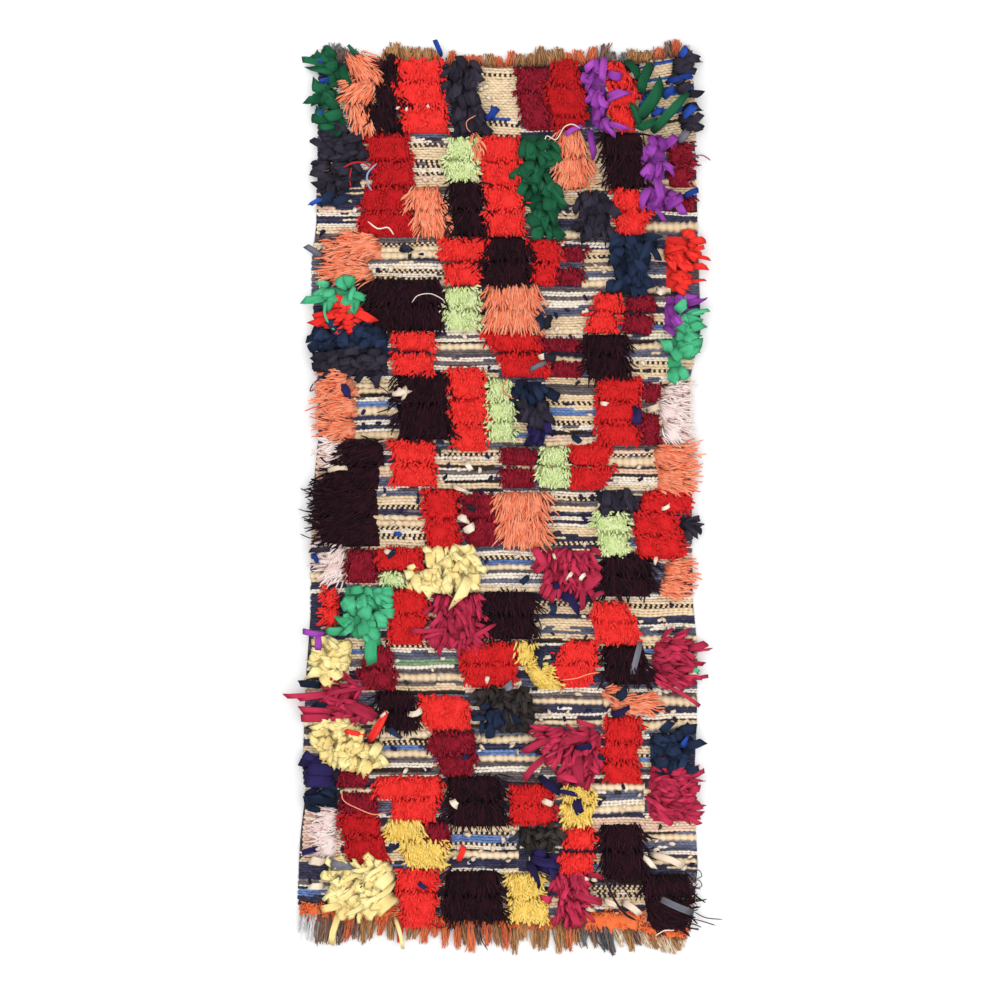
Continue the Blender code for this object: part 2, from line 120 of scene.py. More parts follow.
# Patches of pile by colour. Left and right are at a patch's top, low_left and low_right at its bottom.
# Lean is the way that the pile lies, in degrees from straight down, towards the right.
Patch = namedtuple("Patch", "top bottom left right low_left low_right lean", defaults=(0,))
YARN_PATCHES = by_colour(Patch, {
    "salmon": (
        (54, 82, 342, 364, 354, 380, 36), (80, 103, 350, 378, 347, 374, -46),
        (102, 133, 348, 364, 356, 375, 12), (131, 162, 474, 480, 475, 479, 14),
        (130, 158, 559, 581, 559, 586), (156, 187, 555, 588, 558, 587),
        (187, 212, 412, 439, 408, 446, -12), (208, 236, 414, 444, 421, 449, 12),
        (236, 259, 352, 378, 340, 384, -84), (262, 283, 332, 366, 326, 376, -84),
        (244, 259, 334, 352, 330, 350, -84), (284, 309, 487, 538, 488, 538),
        (307, 332, 488, 538, 488, 538), (373, 397, 331, 350, 326, 360, -77),
        (396, 417, 324, 356, 323, 357, -84), (417, 440, 323, 354, 326, 356, -84),
        (447, 467, 655, 686, 654, 690, 73), (468, 494, 659, 686, 657, 688, 80),
        (492, 520, 497, 545, 499, 542), (517, 547, 500, 543, 503, 544),
        (562, 579, 666, 686, 664, 686, 84), (579, 598, 662, 686, 658, 684, 84),
        (691, 701, 602, 612, 602, 612, 84), (698, 714, 608, 652, 614, 650, 84),
    ),
    "black": (
        (54, 84, 383, 396, 382, 399, 5), (84, 108, 373, 398, 378, 400, 15),
        (104, 132, 363, 392, 375, 402, 12), (132, 160, 601, 642, 605, 644, 3),
        (158, 188, 605, 644, 610, 646, 3), (180, 211, 449, 480, 452, 482), (208, 237, 452, 482, 454, 486),
        (236, 262, 488, 526, 486, 529), (260, 287, 484, 528, 484, 530),
        (279, 306, 362, 440, 366, 442, -12), (304, 331, 368, 441, 372, 443, -10),
        (334, 356, 583, 629, 584, 628), (354, 379, 585, 628, 588, 628),
        (373, 406, 397, 448, 399, 448, -8), (404, 440, 396, 446, 402, 451, -14),
        (441, 466, 350, 382, 334, 384, -61), (464, 490, 330, 380, 320, 378, -63),
        (486, 516, 320, 376, 318, 378, -73), (514, 547, 318, 376, 322, 380, -68),
        (555, 577, 604, 650, 602, 652, 16), (575, 597, 602, 652, 602, 650, 16),
        (591, 616, 484, 535, 485, 534, 4), (614, 640, 485, 534, 487, 532, 4),
        (646, 666, 604, 644, 604, 646), (664, 685, 604, 646, 606, 648), (691, 712, 376, 410, 380, 414, 4),
        (710, 731, 382, 414, 384, 418, 4), (776, 802, 448, 498, 448, 502), (800, 828, 448, 502, 449, 506),
        (825, 852, 603, 641, 602, 643, 6), (850, 880, 602, 643, 604, 646, 8),
        (871, 896, 446, 498, 444, 500), (894, 923, 444, 500, 444, 505),
        (875, 900, 644, 690, 643, 690, 20), (898, 932, 644, 688, 652, 686, 66),
    ),
    "scarlet": (
        (58, 83, 397, 440, 396, 443), (80, 108, 393, 443, 396, 446, -6),
        (106, 133, 399, 445, 403, 448, 4), (62, 90, 609, 620, 611, 640), (87, 108, 609, 641, 611, 632),
        (106, 132, 605, 639, 619, 635, -4), (136, 163, 484, 519, 482, 521),
        (161, 187, 481, 521, 484, 521), (186, 212, 484, 522, 486, 523), (210, 237, 486, 523, 488, 524),
        (188, 212, 613, 636, 615, 648), (210, 235, 615, 650, 617, 642, 8),
        (238, 262, 440, 488, 442, 490, -12), (264, 286, 444, 480, 447, 480, -4),
        (293, 313, 598, 620, 592, 624), (312, 334, 591, 616, 588, 618), (331, 351, 394, 434, 395, 435),
        (353, 379, 392, 432, 398, 434, -12), (368, 400, 449, 483, 448, 485),
        (398, 426, 449, 487, 452, 486, -4), (424, 452, 452, 486, 456, 486),
        (440, 464, 388, 434, 396, 434, -8), (463, 487, 394, 434, 392, 437, -12),
        (589, 608, 325, 337, 323, 340, -50), (606, 628, 322, 339, 325, 339, -52),
        (602, 624, 594, 620, 591, 638), (621, 646, 591, 638, 602, 636), (641, 665, 568, 596, 554, 598),
        (662, 688, 553, 598, 563, 586, 4), (696, 731, 418, 464, 428, 472),
        (777, 800, 376, 442, 374, 442, -8), (798, 823, 391, 438, 394, 434, -6),
        (828, 850, 564, 593, 566, 595), (853, 876, 557, 592, 562, 590), (869, 892, 398, 436, 398, 437),
        (890, 928, 398, 437, 406, 435),
    ),
    "burgundy": (
        (67, 93, 517, 552, 517, 543), (90, 131, 516, 542, 525, 553, 4),
        (144, 166, 669, 690, 668, 692, 66), (164, 188, 669, 692, 667, 690, 60),
        (197, 211, 674, 693, 672, 695, 10), (247, 262, 562, 586, 562, 584),
        (268, 285, 557, 583, 558, 582), (296, 312, 628, 656, 626, 656), (314, 334, 624, 652, 624, 652),
        (338, 352, 538, 580, 541, 582), (362, 378, 551, 582, 552, 582), (384, 403, 642, 662, 642, 658, 4),
        (413, 446, 641, 659, 641, 660), (448, 466, 501, 534, 503, 535), (468, 488, 502, 533, 503, 532),
        (494, 520, 460, 494, 462, 496), (518, 547, 463, 496, 466, 498),
        (549, 584, 349, 374, 345, 376, -10), (647, 670, 366, 390, 361, 394, -6),
        (668, 691, 358, 394, 357, 396), (732, 756, 431, 472, 428, 476), (754, 778, 436, 478, 443, 468),
        (770, 788, 339, 370, 338, 364), (793, 817, 341, 374, 343, 378), (823, 849, 426, 450, 429, 449),
        (58, 66, 366, 380, 366, 380),
    ),
    "crimson": (
        (60, 88, 554, 577, 548, 582), (85, 118, 543, 583, 551, 588), (114, 132, 551, 588, 557, 574),
        (133, 162, 366, 407, 370, 411, -4), (160, 187, 372, 412, 373, 413),
        (186, 213, 366, 406, 361, 410, -6), (211, 237, 361, 412, 356, 416, -6),
        (814, 838, 338, 378, 342, 382, -50), (836, 865, 345, 384, 348, 386),
    ),
    "lime": (
        (137, 160, 451, 476, 447, 476), (159, 183, 444, 478, 448, 478), (288, 310, 445, 479, 445, 478),
        (309, 331, 444, 478, 447, 480), (379, 402, 489, 511, 488, 512), (400, 422, 488, 514, 488, 514),
        (420, 441, 488, 514, 489, 513), (447, 467, 541, 567, 541, 566), (466, 488, 538, 567, 538, 568),
        (512, 534, 594, 626, 596, 627), (532, 557, 597, 628, 604, 627), (572, 588, 381, 404, 382, 404),
    ),
    "red": (
        (239, 263, 527, 560, 532, 561), (262, 286, 533, 556, 532, 556), (332, 352, 480, 532, 494, 546),
        (353, 378, 498, 546, 504, 549), (377, 402, 598, 640, 597, 641), (400, 424, 596, 640, 597, 638),
        (422, 446, 598, 638, 598, 640), (444, 467, 572, 614, 572, 606), (466, 490, 571, 616, 570, 600),
        (490, 520, 424, 456, 425, 458), (518, 553, 425, 456, 430, 460),
        (493, 514, 644, 688, 636, 690, 50), (512, 537, 634, 672, 634, 682, 50),
        (534, 560, 636, 682, 638, 684, 50), (548, 571, 376, 420, 376, 424),
        (589, 616, 389, 426, 385, 426), (613, 645, 387, 426, 390, 422), (642, 666, 463, 516, 462, 517),
        (663, 688, 462, 516, 468, 514), (717, 744, 607, 640, 604, 642), (742, 763, 605, 638, 604, 636),
        (762, 784, 604, 640, 606, 640), (785, 806, 509, 550, 510, 554), (804, 826, 510, 554, 512, 555),
    ),
    "pink": (
        (386, 398, 664, 684, 664, 682, 82), (400, 422, 656, 682, 662, 684, 70),
        (420, 445, 663, 684, 663, 684, 63), (438, 452, 328, 346, 326, 342, -75),
        (452, 474, 332, 348, 330, 346, -80), (543, 562, 324, 346, 322, 347, -63),
        (560, 582, 324, 345, 324, 346, -63), (809, 834, 320, 338, 316, 338, -84),
        (832, 859, 316, 338, 314, 334, -84),
    ),
    "gold": (
        (641, 666, 517, 532, 519, 535), (664, 690, 523, 544, 536, 564, 73),
        (785, 806, 564, 588, 564, 598, 16), (804, 828, 560, 594, 563, 590),
        (819, 843, 388, 420, 386, 422), (840, 870, 402, 444, 408, 444, 16),
        (874, 900, 507, 540, 508, 544), (898, 925, 508, 546, 511, 548),
    ),
    "orange": (
        (904, 922, 304, 320, 304, 322, -20), (910, 925, 322, 392, 324, 392),
        (921, 930, 500, 560, 500, 560), (913, 934, 572, 640, 576, 640, 10),
        (926, 942, 640, 680, 644, 682, 20), (917, 928, 398, 500, 398, 500),
    ),
})
RAG_PATCHES = by_colour(Patch, {
    "emerald": (
        (60, 84, 326, 342, 326, 346, -68), (86, 109, 324, 338, 324, 340, -77),
        (112, 134, 326, 344, 328, 348, -73), (135, 160, 521, 552, 524, 552),
        (158, 186, 520, 550, 528, 550), (182, 210, 524, 556, 526, 560), (206, 236, 530, 560, 536, 556, 4),
    ),
    "slate": (
        (57, 84, 446, 474, 447, 476), (82, 109, 447, 476, 450, 478), (106, 134, 450, 478, 454, 478),
        (54, 82, 674, 686, 670, 686, 80), (112, 134, 678, 690, 682, 692, 84),
        (135, 161, 330, 366, 330, 367, -84), (165, 187, 328, 362, 330, 362, -84),
        (191, 214, 577, 609, 582, 610), (212, 236, 582, 610, 584, 611),
        (350, 376, 322, 388, 326, 388, -68), (400, 424, 515, 544, 516, 544),
        (490, 513, 594, 636, 602, 624, 8), (517, 536, 678, 688, 680, 688, 68),
    ),
    "violet": (
        (60, 84, 586, 604, 586, 605), (83, 106, 587, 606, 590, 604), (104, 128, 592, 603, 592, 603),
        (135, 158, 649, 664, 649, 666, 6), (156, 182, 648, 666, 650, 664),
        (184, 210, 646, 668, 652, 672, 10), (296, 328, 666, 688, 664, 676, 56),
    ),
    "navy": (
        (233, 262, 614, 650, 614, 652, 4), (260, 292, 612, 650, 618, 638, 4),
        (328, 352, 320, 388, 320, 388, -73), (381, 402, 518, 546, 517, 546),
        (706, 731, 484, 508, 483, 506), (733, 753, 650, 684, 650, 686, 68),
        (752, 772, 650, 686, 652, 686, 73), (791, 814, 314, 334, 316, 334, -84),
    ),
    "scarlet": (
        (236, 264, 666, 690, 664, 690, 75), (266, 291, 666, 688, 667, 682, 61),
        (308, 329, 326, 366, 326, 366, -84),
    ),
    "jade": (
        (286, 307, 326, 360, 324, 360, -52), (314, 336, 672, 690, 676, 692, 68),
        (336, 356, 672, 690, 670, 686, 56), (356, 377, 668, 684, 668, 682, 54),
        (587, 612, 344, 382, 347, 384), (610, 638, 349, 384, 350, 378),
    ),
    "indigo": (
        (420, 445, 528, 548, 532, 544), (761, 788, 312, 332, 312, 334, -84),
        (852, 871, 532, 552, 534, 552, 56),
    ),
    "wine": (
        (549, 572, 542, 594, 544, 592), (570, 595, 547, 592, 550, 586), (594, 620, 433, 480, 433, 480),
        (616, 648, 432, 480, 438, 476), (641, 662, 656, 686, 652, 688, 84),
        (660, 684, 652, 686, 654, 682, 84), (681, 700, 330, 368, 328, 358, -84),
        (703, 723, 328, 370, 330, 366, -84), (729, 752, 542, 600, 546, 602, -61),
        (750, 784, 553, 598, 572, 594, -12), (771, 796, 650, 688, 648, 688, 84),
        (794, 822, 646, 688, 650, 686, 84), (872, 898, 550, 586, 556, 590, 14),
        (896, 924, 554, 588, 564, 580, 14),
    ),
    "straw": (
        (640, 662, 322, 352, 320, 350, -80), (660, 680, 320, 350, 320, 348, -80),
        (864, 888, 336, 390, 334, 390, -73), (886, 914, 334, 390, 338, 386, -61),
        (546, 572, 424, 469, 430, 471, 4), (570, 589, 406, 473, 414, 473, 30),
        (722, 746, 320, 360, 318, 362, -78), (744, 769, 320, 380, 320, 382, -72),
    ),
    "charcoal": (
        (688, 712, 474, 528, 480, 530), (706, 732, 502, 532, 502, 530), (828, 850, 518, 554, 520, 556),
    ),
})
ALL_PATCHES = [patch for table in (YARN_PATCHES, RAG_PATCHES) for rows in table.values() for patch in rows]

# Rag strips laid one by one, root to tip. Bend is how far each end turns off the straight line, in degrees.
Strip = namedtuple("Strip", "width root_across root_down tip_across tip_down bend", defaults=(0,))
STRIPS = by_colour(Strip, {
    "emerald": (
        (7, 324, 66, 302, 60, 14), (8, 322, 98, 306, 101, -10), (9, 330, 90, 314, 88, 10),
        (9, 328, 122, 312, 119, 10), (11, 342, 66, 350, 86, 12), (10, 338, 110, 322, 92),
        (6, 356, 54, 349, 46), (8, 624, 60, 640, 80, -20), (10, 652, 64, 641, 92, 16),
        (14, 637, 120, 662, 84, 8), (11, 652, 131, 688, 92, 4), (9, 640, 126, 632, 104, 10),
        (9, 660, 122, 638, 130, 16), (9, 548, 186, 566, 208, 10), (8, 552, 142, 560, 152),
    ),
    "cobalt": (
        (6, 324, 61, 318, 60), (6, 330, 80, 319, 83), (5, 322, 110, 318, 116), (6, 640, 106, 648, 101),
        (6, 652, 116, 663, 110), (8, 664, 97, 674, 88), (6, 666, 82, 692, 73, 8), (7, 680, 58, 687, 48),
        (8, 682, 118, 695, 106), (6, 484, 120, 498, 108, 14), (7, 492, 120, 494, 107),
        (6, 684, 196, 698, 190), (5, 328, 198, 310, 206, 16), (6, 680, 748, 688, 738),
        (5, 442, 56, 435, 40), (6, 318, 562, 314, 554),
    ),
    "slate": (
        (8, 686, 94, 702, 95), (9, 678, 92, 690, 84), (8, 688, 128, 701, 114), (9, 680, 72, 692, 68),
        (7, 330, 152, 312, 140, 8), (8, 330, 180, 311, 172, 6), (8, 332, 184, 314, 186),
        (5, 402, 244, 410, 252), (8, 684, 520, 697, 530, 20), (7, 686, 530, 690, 540),
        (6, 466, 506, 476, 510), (7, 552, 316, 548, 330, 40), (6, 332, 549, 310, 550),
        (6, 540, 352, 556, 360, 20),
    ),
    "grey": (
        (8, 678, 142, 688, 132), (7, 322, 257, 306, 246), (8, 504, 690, 512, 684),
        (12, 330, 865, 350, 864), (6, 336, 876, 346, 884), (7, 658, 897, 692, 912, 4),
        (6, 641, 640, 632, 674), (5, 548, 362, 530, 370, 4),
    ),
    "violet": (
        (10, 606, 100, 625, 92, -6), (6, 606, 124, 627, 130, -10), (5, 584, 126, 565, 135, 14),
        (7, 590, 128, 595, 157, 6), (8, 604, 56, 602, 82), (9, 662, 148, 676, 136, 10),
        (9, 656, 176, 662, 202), (10, 664, 208, 682, 196), (9, 650, 186, 640, 206, 8),
        (4, 654, 206, 665, 222), (8, 686, 304, 706, 300, 4), (6, 664, 326, 676, 334, 10),
        (6, 326, 634, 303, 631, -10), (7, 320, 632, 318, 650, 4),
    ),
    "navy": (
        (9, 336, 192, 320, 204, 10), (8, 350, 196, 334, 204), (10, 634, 246, 645, 274, 10),
        (10, 652, 240, 640, 262), (6, 542, 648, 540, 668), (8, 322, 686, 299, 683, 10),
        (6, 332, 706, 314, 704), (10, 616, 698, 626, 690, 20), (8, 388, 728, 402, 738),
        (9, 684, 746, 704, 741, 8), (8, 684, 770, 699, 769), (11, 334, 800, 308, 798),
        (6, 572, 436, 580, 442), (8, 536, 316, 544, 330, -40), (6, 396, 550, 388, 558),
    ),
    "jade": (
        (8, 326, 298, 303, 300, -10), (8, 350, 292, 366, 298, 10), (4, 684, 318, 709, 310, -10),
        (10, 686, 330, 703, 324), (12, 678, 350, 702, 344), (10, 668, 352, 664, 340, 20),
        (13, 374, 622, 370, 665, 6), (10, 346, 630, 326, 630, -20), (14, 360, 618, 372, 608),
        (9, 374, 612, 389, 622, 20), (5, 692, 668, 698, 672),
    ),
    "scarlet": (
        (8, 326, 318, 312, 325, -8), (9, 350, 312, 374, 322, -14), (4, 692, 256, 709, 259),
        (7, 692, 266, 706, 267), (5, 692, 250, 704, 247, 6), (4, 690, 282, 705, 280),
        (9, 368, 742, 386, 711, 8), (6, 366, 736, 345, 731), (6, 458, 862, 464, 845, 8),
    ),
    "indigo": (
        (8, 342, 384, 350, 396), (5, 640, 422, 634, 406), (9, 638, 408, 636, 424),
        (8, 568, 590, 580, 612, 20), (8, 560, 594, 572, 600), (9, 612, 716, 628, 710),
        (6, 575, 749, 592, 746, -10), (8, 540, 776, 560, 792, 10), (5, 556, 792, 578, 796, -20),
        (10, 577, 796, 580, 814, 20), (12, 334, 770, 308, 768), (13, 334, 782, 306, 780),
        (6, 318, 849, 302, 853, 14), (9, 530, 858, 558, 864, 10), (9, 528, 862, 538, 888, -14),
        (5, 418, 882, 426, 888),
    ),
    "cream": (
        (8, 398, 398, 404, 386, 60), (9, 392, 392, 406, 390, 20), (6, 646, 411, 660, 406),
        (5, 452, 486, 466, 492), (6, 466, 462, 471, 470), (5, 326, 472, 348, 468, -20),
        (4, 661, 509, 670, 505, 20), (8, 458, 516, 468, 520), (8, 464, 532, 474, 526),
        (5, 688, 672, 698, 676), (4, 380, 718, 388, 711), (9, 326, 862, 310, 860),
        (7, 324, 886, 310, 886), (7, 622, 902, 640, 914, -14), (7, 604, 900, 618, 906),
        (6, 586, 906, 596, 910, 30), (7, 650, 854, 684, 866, -12), (6, 642, 856, 654, 868, -20),
        (6, 406, 712, 424, 708, 50), (7, 452, 798, 458, 806, 30), (6, 542, 800, 552, 804),
        (7, 656, 290, 664, 294), (6, 538, 358, 546, 356), (4, 573, 572, 568, 579, 20),
        (4, 586, 574, 580, 580, 30), (3, 553, 553, 555, 559),
    ),
    "straw": (
        (12, 470, 576, 458, 602), (10, 470, 552, 462, 545), (6, 444, 592, 416, 588, 10),
        (14, 392, 872, 376, 888), (13, 396, 896, 376, 912, 8), (7, 340, 912, 331, 944, 8),
        (4, 394, 916, 403, 949, -12), (8, 344, 904, 322, 909), (5, 390, 868, 362, 884, 40),
        (5, 374, 862, 346, 868, -50), (6, 394, 880, 370, 898, -40), (5, 366, 876, 338, 888, 46),
        (6, 358, 880, 334, 900, -34), (5, 346, 892, 322, 900, 30), (6, 386, 898, 362, 910, 44),
        (5, 366, 898, 342, 914, -40), (5, 350, 866, 330, 876, 36),
    ),
    "wine": (
        (8, 546, 570, 534, 548, 8), (7, 552, 582, 545, 598), (12, 580, 590, 600, 572, 10),
        (5, 590, 596, 604, 592), (6, 583, 580, 582, 610), (5, 470, 640, 494, 626, -12),
        (5, 450, 628, 410, 630, -10), (4, 446, 632, 422, 638, 8), (5, 462, 636, 458, 658, 6),
        (5, 444, 640, 438, 656), (8, 688, 648, 706, 643, 6), (3, 692, 652, 711, 649, -6),
        (4, 690, 680, 708, 676, -8), (4, 662, 684, 700, 706, -10), (4, 372, 688, 320, 696, 10),
        (5, 330, 692, 285, 696, -6), (6, 332, 694, 298, 699, 4), (9, 330, 712, 301, 710),
        (9, 332, 718, 301, 718), (11, 342, 700, 376, 718), (8, 372, 706, 362, 724),
        (12, 576, 754, 580, 784, 4), (8, 552, 740, 524, 752, 14), (7, 548, 756, 524, 780, 18),
        (9, 592, 736, 560, 744, 16), (7, 556, 772, 584, 780, 14), (6, 688, 780, 703, 780, 4),
        (7, 688, 790, 700, 788), (6, 688, 808, 702, 806, 4), (5, 684, 814, 700, 824),
        (6, 656, 814, 672, 824), (8, 570, 890, 602, 902, 6), (8, 552, 900, 542, 898),
        (8, 572, 908, 578, 926, 6),
    ),
})

# Small rag knots between the patches, by colour: across, down, size
KNOTS = {
    "cobalt": ((659, 111, 6), (398, 535, 5)),
    "navy": ((406, 248, 8), (440, 442, 5), (525, 580, 7), (600, 757, 5), (552, 610, 8)),
    "cream": (
        (390, 550, 6), (604, 404, 5), (655, 560, 5), (586, 879, 4), (594, 879, 4), (487, 680, 5),
        (398, 108, 3), (406, 109, 3), (428, 107, 3),
    ),
    "slate": ((360, 886, 6),),
    "grey": ((359, 684, 6),),
    "indigo": ((465, 756, 5), (556, 586, 6)),
}
# Frayed ends of weft in the open ground, by colour: how many chart units square hold one
FRAYS = {"cream": 560.0, "indigo": 2400.0, "slate": 1900.0}

# Loose strings by colour: thickness in metres, then the places that each passes
STRINGS = {
    "cream": (
        (0.0028, ((580, 129), (572, 125), (564, 128), (556, 140), (546, 137), (545, 156))),
        (0.0034, ((368, 222), (378, 229), (388, 228), (394, 235))),
        (0.0024, ((412, 303), (418, 296), (430, 294), (440, 298), (445, 302))),
        (0.0028, ((655, 935), (664, 930), (674, 930))),
    ),
    "salmon": (
        (0.0022, ((476, 116), (467, 122), (468, 130), (476, 136))),
        (0.0026, ((342, 789), (344, 800), (358, 808), (374, 814), (386, 812))),
        (0.0026, ((560, 680), (576, 678), (588, 674), (600, 672))),
    ),
    "jade": ((0.0060, ((326, 303), (325, 314), (330, 326), (335, 330))),),
    "rust": ((0.0030, ((507, 378), (503, 388), (508, 396), (514, 399))),),
    "crimson": (
        (0.0044, ((344, 168), (352, 164), (362, 163), (372, 168), (378, 174))),
        (0.0030, ((352, 168), (350, 178), (351, 187))),
    ),
    "lavender": ((0.0046, ((377, 164), (368, 174), (368, 184), (372, 191))),),
    "black": (
        (0.0030, ((322, 377), (313, 384), (310, 391), (316, 388))),
        (0.0026, ((372, 382), (384, 389), (394, 398), (408, 403))),
        (0.0026, ((430, 922), (440, 927), (450, 924))), (0.0026, ((480, 930), (482, 940), (488, 950))),
        (0.0026, ((694, 912), (706, 918), (723, 920))), (0.0026, ((690, 918), (704, 922), (716, 926))),
        (0.0022, ((690, 874), (698, 870), (702, 876), (696, 880))),
        (0.0022, ((690, 884), (698, 880), (702, 886), (695, 890))),
        (0.0026, ((322, 494), (308, 492), (300, 488))), (0.0026, ((320, 514), (308, 512), (298, 509))),
        (0.0026, ((320, 522), (310, 520), (303, 518))), (0.0026, ((322, 538), (310, 538), (300, 534))),
        (0.0062, ((603, 874), (609, 888), (616, 902), (626, 914), (636, 920))),
        (0.0026, ((608, 878), (620, 884), (632, 900))),
    ),
    "burgundy": (
        (0.0030, ((690, 157), (702, 155), (711, 160))), (0.0030, ((690, 163), (696, 164), (702, 165))),
    ),
}
# Cream strings are paler than the cream of the tufts
PALE_STRING = ((0.66, 0.52, 0.40), (1.0, 0.92, 0.82))

# Weft colours: darkest and lightest
WEFTS = {
    "cream": ((0.76, 0.55, 0.33), (0.98, 0.82, 0.58)),
    "white": ((0.92, 0.79, 0.64), (1.00, 0.94, 0.83)),
    "pink": ((0.80, 0.46, 0.36), (1.00, 0.76, 0.64)),
    "brown": ((0.016, 0.010, 0.010), (0.080, 0.050, 0.042)),
    "navy": ((0.016, 0.016, 0.036), (0.080, 0.076, 0.145)),
    "grey": ((0.056, 0.046, 0.050), (0.260, 0.215, 0.220)),
    "slate": ((0.055, 0.060, 0.100), (0.220, 0.230, 0.330)),
    "cobalt": ((0.010, 0.045, 0.260), (0.060, 0.180, 0.600)),
    "blue": ((0.070, 0.130, 0.360), (0.220, 0.340, 0.640)),
    "green": ((0.100, 0.200, 0.110), (0.300, 0.460, 0.270)),
    "orange": ((0.56, 0.090, 0.035), (0.98, 0.280, 0.110)),
}

# Stripes of weft by letter: colours taken in turn along a row, rows' depth, bead pitch, crest in metres
# and the share of the crest that is left between two beads
Stripe = namedtuple("Stripe", "colours depth pitch crest valley")
STRIPES = {
    "c": Stripe(("cream",), 2.6, 5.0, 0.0054, 0.60), "C": Stripe(("cream",), 6.4, 7.0, 0.0090, 0.75),
    "w": Stripe(("white",), 2.4, 4.2, 0.0058, 0.30), "z": Stripe(("white",), 2.8, 4.2, 0.0062, 0.15),
    "p": Stripe(("pink", "cream", "pink"), 2.8, 5.0, 0.0058, 0.45),
    "k": Stripe(("brown",), 2.6, 5.0, 0.0050, 0.5), "n": Stripe(("navy",), 2.7, 5.0, 0.0052, 0.40),
    "g": Stripe(("grey",), 2.7, 5.0, 0.0054, 0.4), "s": Stripe(("slate",), 2.7, 5.0, 0.0054, 0.4),
    "b": Stripe(("cobalt",), 2.6, 5.0, 0.0054, 0.5), "l": Stripe(("blue",), 2.7, 5.0, 0.0056, 0.4),
    "e": Stripe(("green",), 2.6, 5.0, 0.0056, 0.5),
    "o": Stripe(("orange", "pink", "orange"), 2.8, 5.0, 0.0058, 0.5),
    "d": Stripe(("brown", "cream"), 2.5, 2.6, 0.0052, 0.5),
}

# Rows change colour for a few beads: to which colours, in what share of the rows, in rows of more than how
# many beads, and for how many beads. Plain rows don't.
SPLICES = ("navy", "slate", "cream", "white", "grey", "navy", "cream")
SPLICE_SHARE = 0.42
SPLICE_FROM = 4
SPLICE_BEADS = (2, 7)
PLAIN = ("cream",)

# Stripes of the ground, from the top of each region. Each is a letter and its depth in chart units.
# Slope is how far they drop for each unit across.
Region = namedtuple("Region", "left right top stripes slope", defaults=(0.0,))
REGIONS = tuple(Region(*row) for row in (
    (478, 520, 62, "w4 c6 d3 c42 b3 d6 c8 d3"),
    (640, 697, 60, "c4 b4 c13 b5 c5 n3 b6 c12 b6 c6 k3 c16 p8", -0.16),
    (366, 386, 60, "p4 c5 n4 c6"), (318, 330, 58, "n24 c4 n22 c6 n22"),
    (408, 450, 133, "s5 w5 d4 c12 d8 w4 d4 p4 c8"), (583, 608, 150, "p8 d6 w4 c22"),
    (318, 345, 133, "s8 p4 n16 p10 n12"), (317, 366, 184, "w4 n18 p6 w4 n7 w4 c6 g8"),
    (552, 584, 188, "w6 c10 n8 c6 n8 z4 C8 g4"), (640, 698, 186, "c8 b4 k13 w4 n7 C9 g9"),
    (366, 450, 236, "g6 d4 C5 C7 g5 z6 d4 w4 d3 C7"), (556, 632, 236, "g5 z6"),
    (582, 620, 248, "c6 d4 c4 g4 c5 s6 w3 C7 g5"), (534, 604, 286, "g5 z5 g4 w5 s11 c7 c5 C6 w4"),
    (428, 500, 286, "s6"), (428, 498, 329, "z6 g3 w4 k2 C6 g7 w4 g4 z5 d3 c5"),
    (620, 672, 333, "w6 k4 C6 s8 w4 d3 c5 d3 c5"),
    (350, 402, 370, "s6 w4 c3 C10 k4 w4 l6 C8 n5 z5 n4 w3 C9 g5"),
    (546, 602, 377, "c7 g10 c7 d4 c3 l8 c5 d4 z5 k4 p6 C6"),
    (432, 502, 443, "s4 g3 c3 d3 z4 c5 k5 g4 z6 k3 c6 n3 w4"),
    (604, 662, 444, "g5 p4 d4 C9 k3 p5 k3 z5 w4 c5 s5"),
    (374, 430, 486, "z5 s5 c9 d4 n6 C5 C6 d4 w4 d6 c9"),
    (538, 598, 486, "g5 z5 d4 g6 c6 n5 w4 n3 w3 c7 n7 d4 n4 c6"),
    (469, 544, 546, "s5 w5 d4 l5 C5 g3 z6 s4 w4 C6"),
    (532, 592, 592, "n9 d5 c8 n5 c8 s7 c5 k4 w3 n14 s12"),
    (588, 698, 594, "w5 c5 d4 c8 n8 w4 s8 C6"), (384, 464, 638, "d10 w5 s6 e6 z4 g5 C7 g5 c5 k4"),
    (520, 602, 682, "s6 w5 g6 C5 n9 z6 k2 C5 s8"), (602, 700, 682, "s7 w4 g4 C9 n7 w6 k2 C9 s4"),
    (372, 432, 725, "c5 C8 k3 d5 l5 C7 g5 z5 k5"), (474, 540, 729, "s6 C8 n7 l6 C6 g5 z6 g10"),
    (580, 644, 779, "k5 C7 s9 z6 C7 n5 p8 p7"), (448, 518, 824, "C8 d3 l8 d3 w4 k2 C7 n10 w4"),
    (638, 698, 818, "p8 p6 k3 C6 s11 w4 n4 C5 n10"), (298, 330, 858, "c4 n14 n4 g6 w4 l7 n8 o16"),
    (582, 646, 872, "d8 k6 d12 c8 n6 o28"), (300, 400, 906, "o16"), (398, 584, 916, "o10"),
    (640, 688, 922, "o20"), (311, 345, 583, "n6 w4 n22 k3 n12 s10 n12 n14"),
    (303, 340, 758, "n12 n18 w2 n20 p20 p16 p14"), (312, 345, 374, "s8 n6 s12 n6 s14 n6 s12 s6"),
    (312, 345, 236, "g6 c6 g14 s8 w4 g6 s12 g14"), (660, 692, 376, "w6 k4 p20 p20 p14 c10 k4 p10 k6"),
    (316, 345, 440, "p20 p20 s10 n20 s12 p20 l10 p20"), (650, 694, 496, "s20 n16 s12 w4 s4 p12 s16 n12"),
    (684, 700, 228, "g16 s20 g20 s10 n24 s20"), (684, 697, 730, "s20 n18 s40 s12"),
    (500, 562, 824, "s4 g10 s8 w3 n24"), (446, 486, 55, "n8 s60"), (578, 606, 60, "p6 n60 s12"),
))

